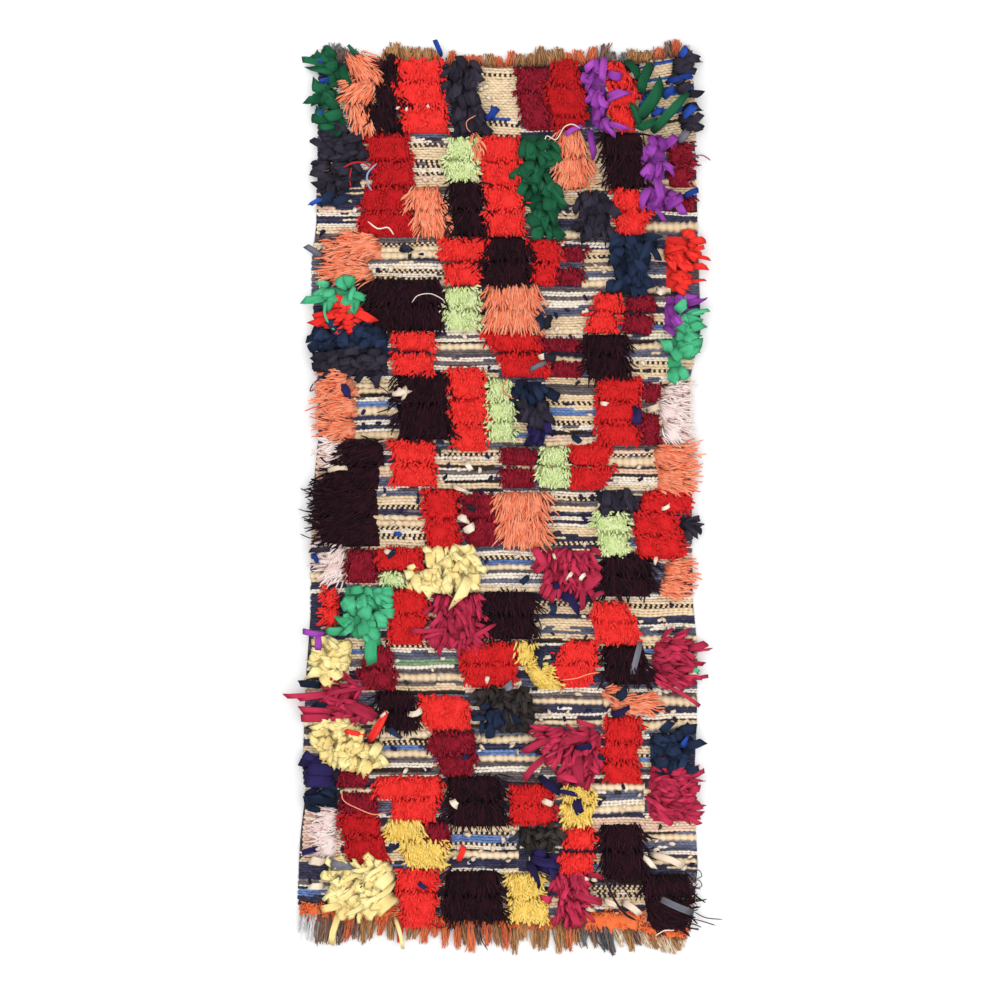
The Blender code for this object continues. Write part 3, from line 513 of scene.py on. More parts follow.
# Stripes wherever no region and no patch lies
FILLER = Region(290, 705, 52, " ".join(("s6 w4 n9 C6 k3 g6 z5 n7 c8 d3 l5 c5 g8 w4 n10 C6 p6 s7",) * 8))

# Bare weave, kept dark as painted shadow where it shows between the weft rows: place on its ramp and colour
GROUND_PAINTED_SHADOW_COLOURS = (
    (0.0, (0.012, 0.012, 0.030)), (0.4, (0.035, 0.028, 0.030)), (0.7, (0.060, 0.045, 0.040)),
    (0.9, (0.110, 0.080, 0.060)),
)

# Warp tufts by colour: across at the root, across and down at the tip
BOTTOM_TUFTS = {
    "white": ((304, 301, 934), (313, 308, 943)),
    "brown": (
        (322, 318, 948), (329, 325, 946), (343, 338, 947), (358, 353, 941), (477, 480, 947),
        (592, 597, 950), (635, 640, 947),
    ),
    "rust": (
        (352, 346, 944), (383, 380, 937), (427, 423, 946), (436, 434, 940), (446, 444, 950),
        (458, 457, 952), (469, 470, 955), (486, 488, 948), (505, 506, 953), (570, 570, 954),
    ),
    "ochre": (
        (366, 362, 947), (373, 369, 942), (391, 390, 942), (410, 408, 942), (418, 415, 941),
        (464, 465, 948), (497, 497, 949), (516, 514, 957), (523, 524, 943), (536, 535, 953),
        (545, 545, 953), (556, 560, 956), (563, 567, 950), (577, 577, 947), (627, 633, 954),
        (652, 657, 951), (675, 679, 952),
    ),
    "scarlet": ((400, 401, 945),),
    "charcoal": ((584, 584, 951), (600, 607, 954), (606, 614, 958)),
    "cream": ((617, 623, 949), (642, 649, 950), (659, 666, 955), (668, 674, 956), (682, 683, 949)),
}
TOP_TUFTS = {
    "rust": (
        (322, 320, 52), (452, 452, 49), (461, 463, 54), (470, 470, 53), (480, 478, 54), (500, 498, 55),
        (511, 512, 49), (570, 568, 51), (580, 578, 48), (592, 594, 45), (659, 661, 45), (675, 676, 38),
    ),
    "charcoal": ((330, 328, 44), (338, 337, 41), (355, 352, 47), (611, 613, 50), (622, 624, 51)),
    "brown": ((345, 343, 46), (364, 362, 54), (375, 376, 56), (602, 605, 41), (667, 668, 39)),
    "ochre": (
        (388, 387, 45), (396, 396, 40), (405, 404, 44), (413, 412, 47), (420, 418, 45), (428, 428, 46),
        (435, 432, 47), (490, 489, 52), (520, 519, 52), (530, 530, 52), (540, 541, 44), (550, 549, 48),
        (559, 560, 45), (633, 633, 47), (642, 642, 50), (650, 649, 49),
    ),
    "cream": ((684, 686, 44),),
}
TUFT_COLOURS = {
    "ochre": ((0.18, 0.070, 0.022), (0.66, 0.340, 0.135)),
    "rust": ((0.46, 0.060, 0.022), (0.86, 0.240, 0.090)),
    "brown": ((0.05, 0.020, 0.016), (0.42, 0.240, 0.170)),
    "charcoal": ((0.02, 0.020, 0.026), (0.30, 0.260, 0.250)),
    "white": ((0.55, 0.540, 0.560), (0.98, 0.960, 0.960)),
    "cream": ((0.42, 0.260, 0.140), (0.95, 0.800, 0.600)),
    "scarlet": ((0.55, 0.020, 0.018), (0.98, 0.080, 0.050)),
    "lavender": ((0.20, 0.190, 0.330), (0.44, 0.420, 0.620)),
}

# Shapes of a strand: share of its run and lift at each ring and its tip, and thickness at each ring
Strand = namedtuple("Strand", "run rise thickness")
LONG_STRAND = Strand(*map(np.array, (
    (0.0, 0.16, 0.50, 0.92, 1.0), (0.0, 0.84, 1.0, 0.82, 0.74), (0.9, 1.0, 1.0, 0.7),
)))
SHORT_STRAND = Strand(*map(np.array, ((0.0, 0.32, 0.90, 1.0), (0.0, 0.92, 1.0, 0.90), (0.9, 1.0, 0.8))))
WARP_STRAND = Strand(*map(np.array, (
    (0.0, 0.20, 0.55, 0.93, 1.0), (1.0, 1.2, 1.0, 0.55, 0.4), (1.0, 1.0, 1.0, 0.8),
)))
LONG_YARN = 12.0
STRAND_CORNERS = tuple(math.radians(angle) for angle in (-30.0, 90.0, 210.0))
STRAND_SIDES = len(STRAND_CORNERS)
STRAND_FLATNESS = 0.6
STRAND_BEND = 0.5
STRAND_WAVE = 0.5
STRAND_SHADES = (0.06, 0.94)
CORNER_SHADES = (-0.02, 0.0, 0.02)
CORNER_TURNS = (0.0, 0.5, 1.0)

# Shape of a rag strip: share of its run, lift and width at each ring, places across it, which of them
# are arched and which rings are slanted, and how far its parts stray
STRIP_RUN = np.array((0.0, 0.13, 0.36, 0.62, 0.86, 1.0))
STRIP_RISE = np.array((0.0, 0.78, 1.0, 1.04, 0.90, 0.80))
STRIP_WIDTH = np.array((0.62, 0.94, 1.0, 1.0, 1.0, 0.96))
STRIP_ACROSS = np.array((-1.0, -0.36, 0.36, 1.0))
STRIP_MIDDLE = np.array((0.0, 1.0, 1.0, 0.0))
STRIP_CUT = np.array((0.0, 0.0, 0.0, 0.0, 0.45, 1.0))
STRIP_THICKNESS = 0.0014
STRIP_WAVE = 0.0014
STRIP_ROLL = 0.26
STRIP_TWIST = 0.42
STRIP_SLANT = 0.62
STRIP_FOLD = 0.35
LONG_CREASE = 0.75
SHORT_CREASE = 0.45
ARCH_SHARE = 0.12
STRIP_SHADES = (0.22, 0.80)
SIDE_SHADE = 0.04
# Painted shade: creased strips lighter on their ridges and darker in their folds
CREASE_PAINTED_SHADE = 0.11
SHADE_LIMITS = (0.03, 0.97)

# How the pile is spread over a patch, in chart units and in shares of a strand's or strip's own size
KNOT_ROW = 24.0
ROOT_SHARE = 0.94
ROOT_STRAY = (1.3, 0.8)
ROOTS_UP = 2.0
OVERHANG_SHARE = 0.3
SIDE_REACH = 0.15
FAN_CURVE = 1.5
FALL_SHARE = 0.5
STRAY_SHARE = 0.7
SMALL_CLUMP_SHARE = 0.8
YARN_LENGTHS = (0.70, 1.20)
YARN_LIFTS = (0.91, 1.07)
YARN_WIDTHS = (0.85, 1.15)
YARN_SWELL = 0.09
TIP_DROP = 0.5
TIP_DROP_FROM = 0.7
TIP_DROP_OVER = 0.3
RAG_LENGTHS = (0.65, 1.15)
RAG_WIDTHS = (0.65, 1.30)
RAG_LIFTS = (0.66, 1.08)
RAG_BEND = 0.55
KNOT_BEND = 0.8
KNOT_LENGTH = 1.5
KNOT_WIDTH = 0.9
FRAY_SIZES = (2.6, 4.6)

# First seeds of what is strewn: a seed for each colour of yarn and rag, one for the weft and the strings
YARN_SEED = 100
RAG_SEED = 200
WEFT_SEED = 300
STRING_SEED = 500

# Smooth fields: the length of their waves in chart units, and their seed
DRIFT_WAVES = 6
BED_LUMPS = (9.0, 5)
LARGE_CLUMPS = (14.0, 11)
SMALL_CLUMPS = (6.0, 12)
PILE_SWELLS = (12.0, 13)
WEFT_WAVER = (38.0, 21)
SHEET_WAVES = (40.0, 31)

# Heights in metres
ROOT_HEIGHT = 0.005
SHEET_TOP = 0.0028
SHEET_UNDER = 0.0004
SHEET_UNEVEN = 0.0003
FLOOR_HEIGHT = -0.0002
LOWEST = 0.0006
LAID_LIFT = 0.0258
KNOT_LIFT = 0.0235
FRAY_LIFT = 0.0095
BED_BASE = 0.0032
BED_THICKNESS = 0.0006
BED_UNEVEN = 0.0010
YARN_BED = 0.0146
RAG_BED = 0.0075
WEFT_BASE = 0.0027
STRING_OVER_PILE = 0.0292
STRING_OUTSIDE = 0.013
STRING_FALL = 0.006

# Sizes in chart units
BED_STEP = 5.0
BED_SLOPE = 6.0
BED_OUTSET = 0.5
SPAN_STEP = 1.0
PATCH_INSET = 3.0
SHORTEST_SPAN = 3.0
EDGE_MARGIN = 1.0
BARE_FROM_SIDE = 4.0
BARE_FROM_TOP = 3.0
BARE_FROM_BOTTOM = 6.0

# Rows of weft: how far their depth overlaps, how wide they are at a bead and between two, and how far a
# bead's place, height, depth and middle stray
ROW_OVERLAP = 0.68
BEAD_WIDTH = 1.10
NECK_WIDTH = 0.86
BEAD_STRAY = 0.07
SWELL_STRAY = 0.09
WIDTH_STRAY = 0.08
MIDDLE_STRAY = 0.20
MIDDLE_WAVER = 0.60

# Shades of the weft: range of a row's own tone and its share, range of each bead's, and what the corners
# of a face add to its tone and its height
ROW_TONES = (0.15, 0.85)
ROW_TONE_SHARE = 0.6
BEAD_TONES = (0.0, 0.4)
CORNER_TONES = np.array((-0.05, -0.05, 0.05, 0.05))
CORNER_HEIGHTS = np.array((0.0, 0.0, 0.04, 0.04))
BAND_EDGE = 0.02

# Strings: corners around one, rings for each place that it passes, over how many its height is evened,
# how thick it is at its tip, how fast it swells from there, and its shades
STRING_SIDES = 6
STRING_RINGS = 8
STRING_EVENED = 9
STRING_TIP = 0.35
STRING_SWELL = 6.0
STRING_TONES = (0.5, 0.8)
STRING_SIDE_TONE = 0.04

BODY = "root"
SLOT = "pile_and_ground"
BAKE_MAP = "OFBake"
PLY_MAP = "Ply"
SHEET_CELLS = (40, 90)

# Where a bed's and the sheet's maps start and how far they run
BED_TONE, BED_TONE_RUN = 0.3, 0.3
# A bed's v lies low on the root ramp: painted shade, a little darker among the roots
BED_PAINTED_SHADE, BED_PAINTED_SHADE_RUN = 0.34, 0.12
MAP_START, MAP_RUN = 0.05, 0.9

# Fibres: painted shade from root to tip, roughness, sheen, length of one turn of the plies in metres or 0,
# how fine the grain is, and whether cut edges get a dark line, partly frayed edge and partly painted shadow
UNSHADED = (1.0, 1.0, 1.0)
# Painted shade: yarn and warp strands darker towards their roots, where the pile around them shades them
YARN_ROOT_PAINTED_SHADE = ((0.0, (0.55, 0.50, 0.50)), (0.3, (0.88, 0.86, 0.86)), (0.6, UNSHADED))
# Painted shade: rag strips darker towards their roots, among the other strips
RAG_ROOT_PAINTED_SHADE = ((0.0, (0.36, 0.32, 0.32)), (0.25, (0.82, 0.80, 0.80)), (0.5, UNSHADED))
# Thin dark line along the strips' cut edges and tips: partly frayed edge, partly painted shadow between
# strips
RAG_EDGE_FRAY_AND_PAINTED_SHADOW = ((0.0, UNSHADED), (0.80, UNSHADED), (0.98, (0.52, 0.49, 0.48)))
# Painted shade: weft darker in the necks between beads, lighter on their crests
WEFT_NECK_PAINTED_SHADE = ((0.0, (0.80, 0.76, 0.73)), (0.5, (0.95, 0.94, 0.93)), (1.0, UNSHADED))
Fibre = namedtuple("Fibre", "root_shade roughness sheen ply grain hem", defaults=(900.0, False))
YARN_FIBRE = Fibre(YARN_ROOT_PAINTED_SHADE, 0.9, 0.02, 0.005)
RAG_FIBRE = Fibre(RAG_ROOT_PAINTED_SHADE, 0.8, 0.03, 0.0, 700.0, True)
WEFT_FIBRE = Fibre(WEFT_NECK_PAINTED_SHADE, 0.95, 0.02, 0.0, 1100.0)
WARP_FIBRE = Fibre(YARN_ROOT_PAINTED_SHADE, 0.9, 0.1, 0.004)
STRING_FIBRE = Fibre(YARN_ROOT_PAINTED_SHADE, 0.85, 0.12, 0.004)
GRAIN_SHARE = 0.4

# Ends of the rug: name of the pieces, CAD node, record slot, tufts, edge, which way they point down the
# chart, first seed, strands in a tuft and how far they spread
End = namedtuple("End", "name node slot tufts edge outward seed strands width")
ENDS = (
    End("warp_tufts_bottom", "bottom_fringe", "bottom_tufts", BOTTOM_TUFTS, BOTTOM_EDGE, 1, 400, 24, 4.4),
    End("warp_tufts_top", "top_fringe", "top_tufts", TOP_TUFTS, TOP_EDGE, -1, 450, 30, 6.4),
)
WARP_ROOT_INSET = 3.0
WARP_ROOT_STRAY = 1.5
WARP_TIP_SPREAD = 0.42
WARP_REACHES = (0.66, 1.0)
WARP_LIFTS = (0.0050, 0.0120)
WARP_WIDTHS = (0.0030, 0.0042)

# Studio: lamps aimed at the middle, their size in metres and power in watts
Lamp = namedtuple("Lamp", "name place size power")
LAMPS = (Lamp("key", (-2.4, 2.6, 3.4), 2.6, 240.0), Lamp("fill", (2.6, -1.6, 3.6), 3.0, 90.0))
SKY_STRENGTH = 1.15
FLOOR_SIZE = 6.0
FLOOR_COLOUR = (0.92, 0.92, 0.92, 1.0)
LENS = 100.0
SENSOR = 36.0
FRAME_UNITS = 1000
CAMERA_ASIDE = (-0.010, -0.005)
CAMERA_FURTHER = 0.015


def chart_x(across):
    """Across on the chart to metres along X."""
    return (np.asarray(across, float) - CHART_MIDDLE_ACROSS) * CHART_UNIT


def chart_y(down):
    """Down on the chart to metres along Y."""
    return (CHART_MIDDLE_DOWN - np.asarray(down, float)) * CHART_UNIT


def read_line(line, at):
    """The value of a line of (place, value) rows at a place."""
    return np.interp(at, [row[0] for row in line], [row[1] for row in line])


def drift(across, down, wavelength, seed):
    """A smooth field of about -1 to 1 whose waves have roughly this length on the chart."""
    rng = np.random.default_rng(seed)
    total = np.zeros(np.shape(across))
    for _ in range(DRIFT_WAVES):
        angle, phase = rng.uniform(0.0, 2.0 * math.pi, 2)
        pace = 2.0 * math.pi / (wavelength * rng.uniform(0.7, 1.6))
        total += np.sin((across * math.cos(angle) + down * math.sin(angle)) * pace + phase)
    return total / math.sqrt(DRIFT_WAVES)


class Shapes:
    """Collects vertices, faces and their two texture maps, and joins them into one mesh."""

    def __init__(self):
        self.points, self.faces = [], []
        self.count = 0

    def add(self, points, faces, bake, ply=None):
        """faces holds arrays of corner numbers, and bake and ply a (u, v) for each vertex."""
        ply = bake if ply is None else ply
        self.points.append(points)
        for corners in faces:
            self.faces.append((corners + self.count, bake[corners], ply[corners]))
        self.count += len(points)

    def add_with_corner_maps(self, points, corners, bake):
        """The same for one array of faces whose corners have their own (u, v)."""
        self.points.append(points)
        self.faces.append((corners + self.count, bake, bake))
        self.count += len(points)

    def build(self, name, material, slot=SLOT, smooth=True):
        """The piece made of these shapes, tied to the rug's body. slot is not used."""
        mesh = bpy.data.meshes.new(name)
        points = np.concatenate(self.points).astype(np.float32)
        sizes = np.concatenate([np.full(len(c), c.shape[1]) for c, _, _ in self.faces]).astype(np.int32)
        loops = np.concatenate([c.reshape(-1) for c, _, _ in self.faces]).astype(np.int32)
        mesh.vertices.add(len(points))
        mesh.vertices.foreach_set("co", points.reshape(-1))
        mesh.loops.add(len(loops))
        mesh.loops.foreach_set("vertex_index", loops)
        mesh.polygons.add(len(sizes))
        mesh.polygons.foreach_set("loop_start", (np.cumsum(sizes) - sizes).astype(np.int32))
        mesh.polygons.foreach_set("use_smooth", np.full(len(sizes), smooth))
        for map_name, index in ((BAKE_MAP, 1), (PLY_MAP, 2)):
            layer = mesh.uv_layers.new(name=map_name)
            values = np.concatenate([part[index].reshape(-1) for part in self.faces])
            layer.data.foreach_set("uv", values.astype(np.float32))
        mesh.update(calc_edges=True)
        mesh.validate()
        mesh.materials.append(material)
        obj = bpy.data.objects.new(name, mesh)
        bpy.context.scene.collection.objects.link(obj)
        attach(obj, BODY)
        return obj


def run_path(across, down, heading, length, bend, shares):
    """Places along curved runs that start at across, down and turn by bend, both ways in radians."""
    steps = np.diff(shares)
    middles = (shares[1:] + shares[:-1]) / 2.0
    turn = heading[:, None] + bend[:, None] * (middles - 0.5)
    dx = np.sin(turn) * steps * length[:, None]
    dy = np.cos(turn) * steps * length[:, None]
    zero = np.zeros((len(across), 1))
    x = across[:, None] + np.concatenate((zero, np.cumsum(dx, 1)), 1)
    y = down[:, None] + np.concatenate((zero, np.cumsum(dy, 1)), 1)
    return x, y


def axes_along(spine):
    """Unit vectors to the right and up, and the one ahead, at each point of each spine."""
    ahead = np.gradient(spine, axis=-2)
    ahead /= np.maximum(np.linalg.norm(ahead, axis=-1, keepdims=True), 1e-9)
    right = np.stack((ahead[..., 1], -ahead[..., 0], 0.0 * ahead[..., 0]), -1)
    right /= np.maximum(np.linalg.norm(right, axis=-1, keepdims=True), 1e-6)
    return right, np.cross(right, ahead), ahead


def tube_quads(rings, around):
    """Corner numbers of a tube's sides, whose rings run anticlockwise seen from ahead of its root."""
    quads = []
    for ring in range(rings - 1):
        for corner in range(around):
            a, b = ring * around + corner, ring * around + (corner + 1) % around
            quads.append((a, a + around, b + around, b))
    return quads


def repeat_faces(corners, number, step):
    """The same corner numbers for each of a number of like shapes with step points each."""
    base = np.arange(number)[:, None, None] * step
    return (base + np.array(corners)).reshape(-1, len(corners[0]))


def pair(u, v, shape):
    """A (u, v) for each point, from values that spread over this shape."""
    return np.stack((np.broadcast_to(u, shape), np.broadcast_to(v, shape)), len(shape)).reshape(-1, 2)


def add_strands(shapes, rng, across, down, heading, length, lift, thickness, shape, drop=0.0):
    """Three-sided tubes of yarn that rise from their roots and lie over. drop lowers their tips."""
    number, rings = len(across), len(shape.thickness)
    x, y = run_path(across, down, heading, length, rng.normal(0.0, STRAND_BEND, number), shape.run)
    wave = rng.normal(0.0, STRAND_WAVE, (number, len(shape.run))) * shape.run
    x = chart_x(x + wave * np.cos(heading)[:, None])
    y = chart_y(y - wave * np.sin(heading)[:, None])
    rise = shape.rise * (1.0 - np.reshape(drop, (-1, 1)) * shape.run**2)
    z = ROOT_HEIGHT + (lift[:, None] - ROOT_HEIGHT) * rise
    spine = np.stack((x, y, z), 2)
    right, up, _ = axes_along(spine)
    radius = (thickness[:, None] / 2.0 * shape.thickness)[..., None]
    ring_points = []
    for angle in STRAND_CORNERS:
        out = right[:, :rings] * math.cos(angle) + up[:, :rings] * (STRAND_FLATNESS * math.sin(angle))
        ring_points.append(spine[:, :rings] + out * radius)
    tube = np.stack(ring_points, 2).reshape(number, rings * STRAND_SIDES, 3)
    points = np.concatenate((tube, spine[:, -1:]), 1)
    per = points.shape[1]
    last = per - 1 - STRAND_SIDES
    ends = [(last + corner, per - 1, last + (corner + 1) % STRAND_SIDES) for corner in range(STRAND_SIDES)]
    ends.append(tuple(range(STRAND_SIDES)))
    faces = [repeat_faces(tube_quads(rings, STRAND_SIDES), number, per), repeat_faces(ends, number, per)]
    shade = rng.uniform(*STRAND_SHADES, number)[:, None]
    u = np.append(np.tile(CORNER_SHADES, rings), 0.0)
    v = np.append(np.repeat(shape.run[:rings], STRAND_SIDES), 1.0)
    turn = np.append(np.tile(CORNER_TURNS, rings), 0.5)
    bake = pair(shade + u, v, (number, per))
    ply = pair(turn, v * length[:, None] * CHART_UNIT, (number, per))
    shapes.add(points.reshape(-1, 3), faces, bake, ply)


def strip_quads():
    """Corner numbers of a strip's faces: its top, underside, sides and two cut ends."""
    around = 2 * len(STRIP_ACROSS)
    quads = tube_quads(len(STRIP_RUN), around)
    far = (len(STRIP_RUN) - 1) * around
    for corner in range(len(STRIP_ACROSS) - 1):
        mirror = around - 1 - corner
        quads.append((corner, corner + 1, mirror - 1, mirror))
        quads.append((far + corner + 1, far + corner, far + mirror, far + mirror - 1))
    return quads


def add_strips(shapes, rng, across, down, heading, length, width, lift, bend):
    """Rag strips: closed, thin, folded and creased ribbons with slanted cut ends."""
    number, rings, cells = len(across), len(STRIP_RUN), len(STRIP_ACROSS)
    x, y = run_path(across, down, heading, length, bend, STRIP_RUN)
    wave = rng.normal(0.0, STRIP_WAVE, (number, rings)) * STRIP_RUN
    z = ROOT_HEIGHT + (lift[:, None] - ROOT_HEIGHT) * STRIP_RISE + wave
    spine = np.stack((chart_x(x), chart_y(y), z), 2)
    right, up, ahead = axes_along(spine)
    roll = rng.normal(0.0, STRIP_ROLL, (number, 1)) + rng.normal(0.0, STRIP_TWIST, (number, 1)) * STRIP_RUN
    cosine, sine = np.cos(roll)[..., None], np.sin(roll)[..., None]
    right, up = right * cosine + up * sine, up * cosine - right * sine
    half = width[:, None] * CHART_UNIT / 2.0 * STRIP_WIDTH
    slant = rng.normal(0.0, STRIP_SLANT, (number, 1)) * STRIP_CUT
    place = STRIP_ACROSS + rng.uniform(-STRIP_FOLD, STRIP_FOLD, (number, 1, 1)) * STRIP_MIDDLE
    crease = rng.normal(0.0, LONG_CREASE, (number, 1, cells))
    crease = crease + rng.normal(0.0, SHORT_CREASE, (number, rings, cells))
    arch = half[..., None] * 2.0 * ARCH_SHARE * (STRIP_MIDDLE + crease)
    top = (
        spine[:, :, None]
        + right[:, :, None] * (half[..., None] * place)[..., None]
        + ahead[:, :, None] * ((half * slant)[..., None] * place)[..., None]
        + up[:, :, None] * arch[..., None]
    )
    under = top - up[:, :, None] * STRIP_THICKNESS
    points = np.concatenate((top[:, :, ::-1], under), 2).reshape(-1, 3)
    points[:, 2] = np.maximum(points[:, 2], LOWEST)
    shade = rng.uniform(*STRIP_SHADES, number)[:, None, None]
    places = np.concatenate((STRIP_ACROSS[::-1], STRIP_ACROSS))
    height = np.concatenate((crease[:, :, ::-1], crease), 2)
    # u holds each strip's tone, plus painted shade that darkens its folds
    u = np.clip(shade + SIDE_SHADE * places + CREASE_PAINTED_SHADE * height, *SHADE_LIMITS)
    bake = pair(u, STRIP_RUN[:, None], u.shape)
    edge = pair(places, STRIP_RUN[:, None], u.shape)
    shapes.add(points, [repeat_faces(strip_quads(), number, rings * len(places))], bake, edge)


Roots = namedtuple("Roots", "across down side fall")


def scatter(patch, density, length, rng):
    """Roots in a patch, knot row by knot row. side and fall say where each is, from -1 to 1."""
    rows = max(1, round((patch.bottom - patch.top) / KNOT_ROW))
    overhang = OVERHANG_SHARE * length * math.cos(math.radians(patch.lean))
    depth = patch.bottom - patch.top - overhang
    width = (patch.right - patch.left + patch.low_right - patch.low_left) / 2.0
    number = max(4, int(density * width * depth))
    row = rng.integers(0, rows, number)
    side = rng.uniform(-1.0, 1.0, number)
    share = (row + rng.uniform(0.0, ROOT_SHARE, number)) / rows
    left = patch.left + (patch.low_left - patch.left) * share
    right = patch.right + (patch.low_right - patch.right) * share
    across = left + (right - left) * (side + 1.0) / 2.0 + rng.normal(0.0, ROOT_STRAY[0], number)
    down = patch.top + share * depth - ROOTS_UP + rng.normal(0.0, ROOT_STRAY[1], number)
    return Roots(across, down, side, 2.0 * share - 1.0)


def fan_out(patch, roots, spread):
    """Headings in degrees, which turn outwards towards the sides of a patch."""
    lean = math.radians(patch.lean)
    sideways = roots.side * np.abs(roots.side) ** FAN_CURVE * abs(math.cos(lean))
    along = roots.fall * FALL_SHARE * abs(math.sin(lean)) * -np.sign(patch.lean)
    return patch.lean + spread * (sideways + along)


def add_slab(shapes, top, under, bake):
    """A closed slab from a grid of points, row by row down the chart, with its underside at a height."""
    rows, columns = top.shape[0] - 1, top.shape[1] - 1
    wide = columns + 1
    top = top.reshape(-1, 3)
    low = top * (1.0, 1.0, 0.0) + (0.0, 0.0, under)
    cell = (np.arange(rows)[:, None] * wide + np.arange(columns)).reshape(-1)
    up = np.stack((cell, cell + wide, cell + wide + 1, cell + 1), 1)
    rim = list(range(wide)) + [row * wide + columns for row in range(1, rows + 1)]
    rim += [rows * wide + column for column in range(columns - 1, -1, -1)]
    rim += [row * wide for row in range(rows - 1, 0, -1)]
    rim = np.array(rim)
    following = np.roll(rim, -1)
    wall = np.stack((rim, following, following + len(top), rim + len(top)), 1)
    faces = np.concatenate((up, wall, up[:, ::-1] + len(top)))
    bake = bake.reshape(-1, 2)
    shapes.add(np.concatenate((top, low)), [faces], np.concatenate((bake, bake * 0.99 + 0.002)))


def add_bed(shapes, patch, height):
    """The dense foot of the pile, a low closed mound under a patch, its v in the root's painted shade so
    that it is a little darker.
    """
    columns = max(2, int((patch.right - patch.left) / BED_STEP))
    rows = max(2, int((patch.bottom - patch.top) / BED_STEP))
    s, t = np.meshgrid(np.linspace(0.0, 1.0, columns + 1), np.linspace(0.0, 1.0, rows + 1))
    left = patch.left + (patch.low_left - patch.left) * t - BED_OUTSET
    right = patch.right + (patch.low_right - patch.right) * t + BED_OUTSET
    across = left + (right - left) * s
    down = patch.top + (patch.bottom - patch.top) * t
    inside = np.minimum.reduce((across - left, right - across, down - patch.top, patch.bottom - down))
    rise = np.clip(inside / BED_SLOPE, 0.0, 1.0)
    z = BED_BASE + height * rise * (2.0 - rise) + BED_UNEVEN * drift(across, down, *BED_LUMPS) * rise
    # v picks the painted shade that darkens the bed a little
    bake = np.stack((BED_TONE + BED_TONE_RUN * s, BED_PAINTED_SHADE + BED_PAINTED_SHADE_RUN * t), 2)
    add_slab(shapes, np.stack((chart_x(across), chart_y(down), z), 2), BED_BASE - BED_THICKNESS, bake)


def add_yarn_patch(shapes, patch, yarn, rng):
    """One patch of cut yarn on its bed."""
    add_bed(shapes, patch, YARN_BED * yarn.lift / YARNS["scarlet"].lift)
    roots = scatter(patch, yarn.density, yarn.length, rng)
    place = roots.across, roots.down
    number = len(roots.across)
    clumps = drift(*place, *LARGE_CLUMPS) + SMALL_CLUMP_SHARE * drift(*place, *SMALL_CLUMPS)
    stray = STRAY_SHARE * clumps + STRAY_SHARE * rng.normal(0.0, 1.0, number)
    heading = np.radians(fan_out(patch, roots, yarn.spread) + yarn.jitter * stray)
    reach = 1.0 + SIDE_REACH * np.abs(roots.side) ** 3
    length = yarn.length * rng.uniform(*YARN_LENGTHS, number) * reach
    swell = 1.0 + YARN_SWELL * drift(*place, *PILE_SWELLS)
    lift = yarn.lift * swell * rng.uniform(*YARN_LIFTS, number)
    thickness = yarn.thickness * rng.uniform(*YARN_WIDTHS, number)
    edge = (np.maximum(np.abs(roots.side), roots.fall) - TIP_DROP_FROM) / TIP_DROP_OVER
    drop = TIP_DROP * np.clip(edge, 0.0, 1.0)
    shape = LONG_STRAND if yarn.length > LONG_YARN else SHORT_STRAND
    add_strands(shapes, rng, *place, heading, length, lift, thickness, shape, drop)


def add_rag_patch(shapes, patch, rag, rng):
    """One patch of rag strips on its bed."""
    add_bed(shapes, patch, RAG_BED)
    roots = scatter(patch, rag.cover / (rag.length * rag.width), rag.length, rng)
    number = len(roots.across)
    heading = np.radians(fan_out(patch, roots, rag.spread) + rag.jitter * rng.normal(0.0, 1.0, number))
    length = rag.length * rng.uniform(*RAG_LENGTHS, number)
    width = rag.width * rng.uniform(*RAG_WIDTHS, number)
    lift = rag.lift * rng.uniform(*RAG_LIFTS, number)
    bend = rng.normal(0.0, RAG_BEND, number)
    add_strips(shapes, rng, roots.across, roots.down, heading, length, width, lift, bend)


def add_laid_strips(shapes, colour, rng):
    """The strips that are laid one by one, in one colour."""
    if colour not in STRIPS:
        return
    width, root_across, root_down, tip_across, tip_down, bend = np.array(STRIPS[colour], float).T
    heading = np.arctan2(tip_across - root_across, tip_down - root_down)
    length = np.hypot(tip_across - root_across, tip_down - root_down)
    lift = np.full(len(width), LAID_LIFT)
    add_strips(shapes, rng, root_across, root_down, heading, length, width, lift, np.radians(2.0 * bend))


def add_knots(shapes, colour, rng):
    """Small rag ends in one colour: the charted knots, and frayed ends of weft in the open ground."""
    rows = [(*knot, KNOT_LIFT) for knot in KNOTS.get(colour, ())]
    for region in REGIONS:
        depth = sum(float(token[1:]) for token in region.stripes.split())
        number = rng.poisson((region.right - region.left) * depth / FRAYS.get(colour, math.inf))
        corners = (region.left, region.top), (region.right, region.top + depth)
        for across, down in rng.uniform(*corners, (number, 2)):
            if is_bare(across, down):
                rows.append((across, down, rng.uniform(*FRAY_SIZES), FRAY_LIFT))
    if not rows:
        return
    across, down, size, lift = np.array(rows, float).T
    heading = rng.uniform(-math.pi, math.pi, len(rows))
    length = KNOT_LENGTH * size
    bend = rng.normal(0.0, KNOT_BEND, len(rows))
    across = across - 0.5 * length * np.sin(heading)
    down = down - 0.5 * length * np.cos(heading)
    add_strips(shapes, rng, across, down, heading, length, KNOT_WIDTH * size, lift, bend)


def new_material(name):
    """A material, its node tree and its main shader."""
    material = bpy.data.materials.new(name)
    material.use_nodes = True
    return material, material.node_tree, material.node_tree.nodes["Principled BSDF"]


def add_node(tree, kind, values=(), sources=(), **settings):
    """A node with its settings, and with pairs of an input and its value or the output that feeds it."""
    node = tree.nodes.new(f"ShaderNode{kind}")
    for setting, value in settings.items():
        setattr(node, setting, value)
    for socket, value in values:
        node.inputs[socket].default_value = value
    for socket, source in sources:
        tree.links.new(source, node.inputs[socket])
    return node


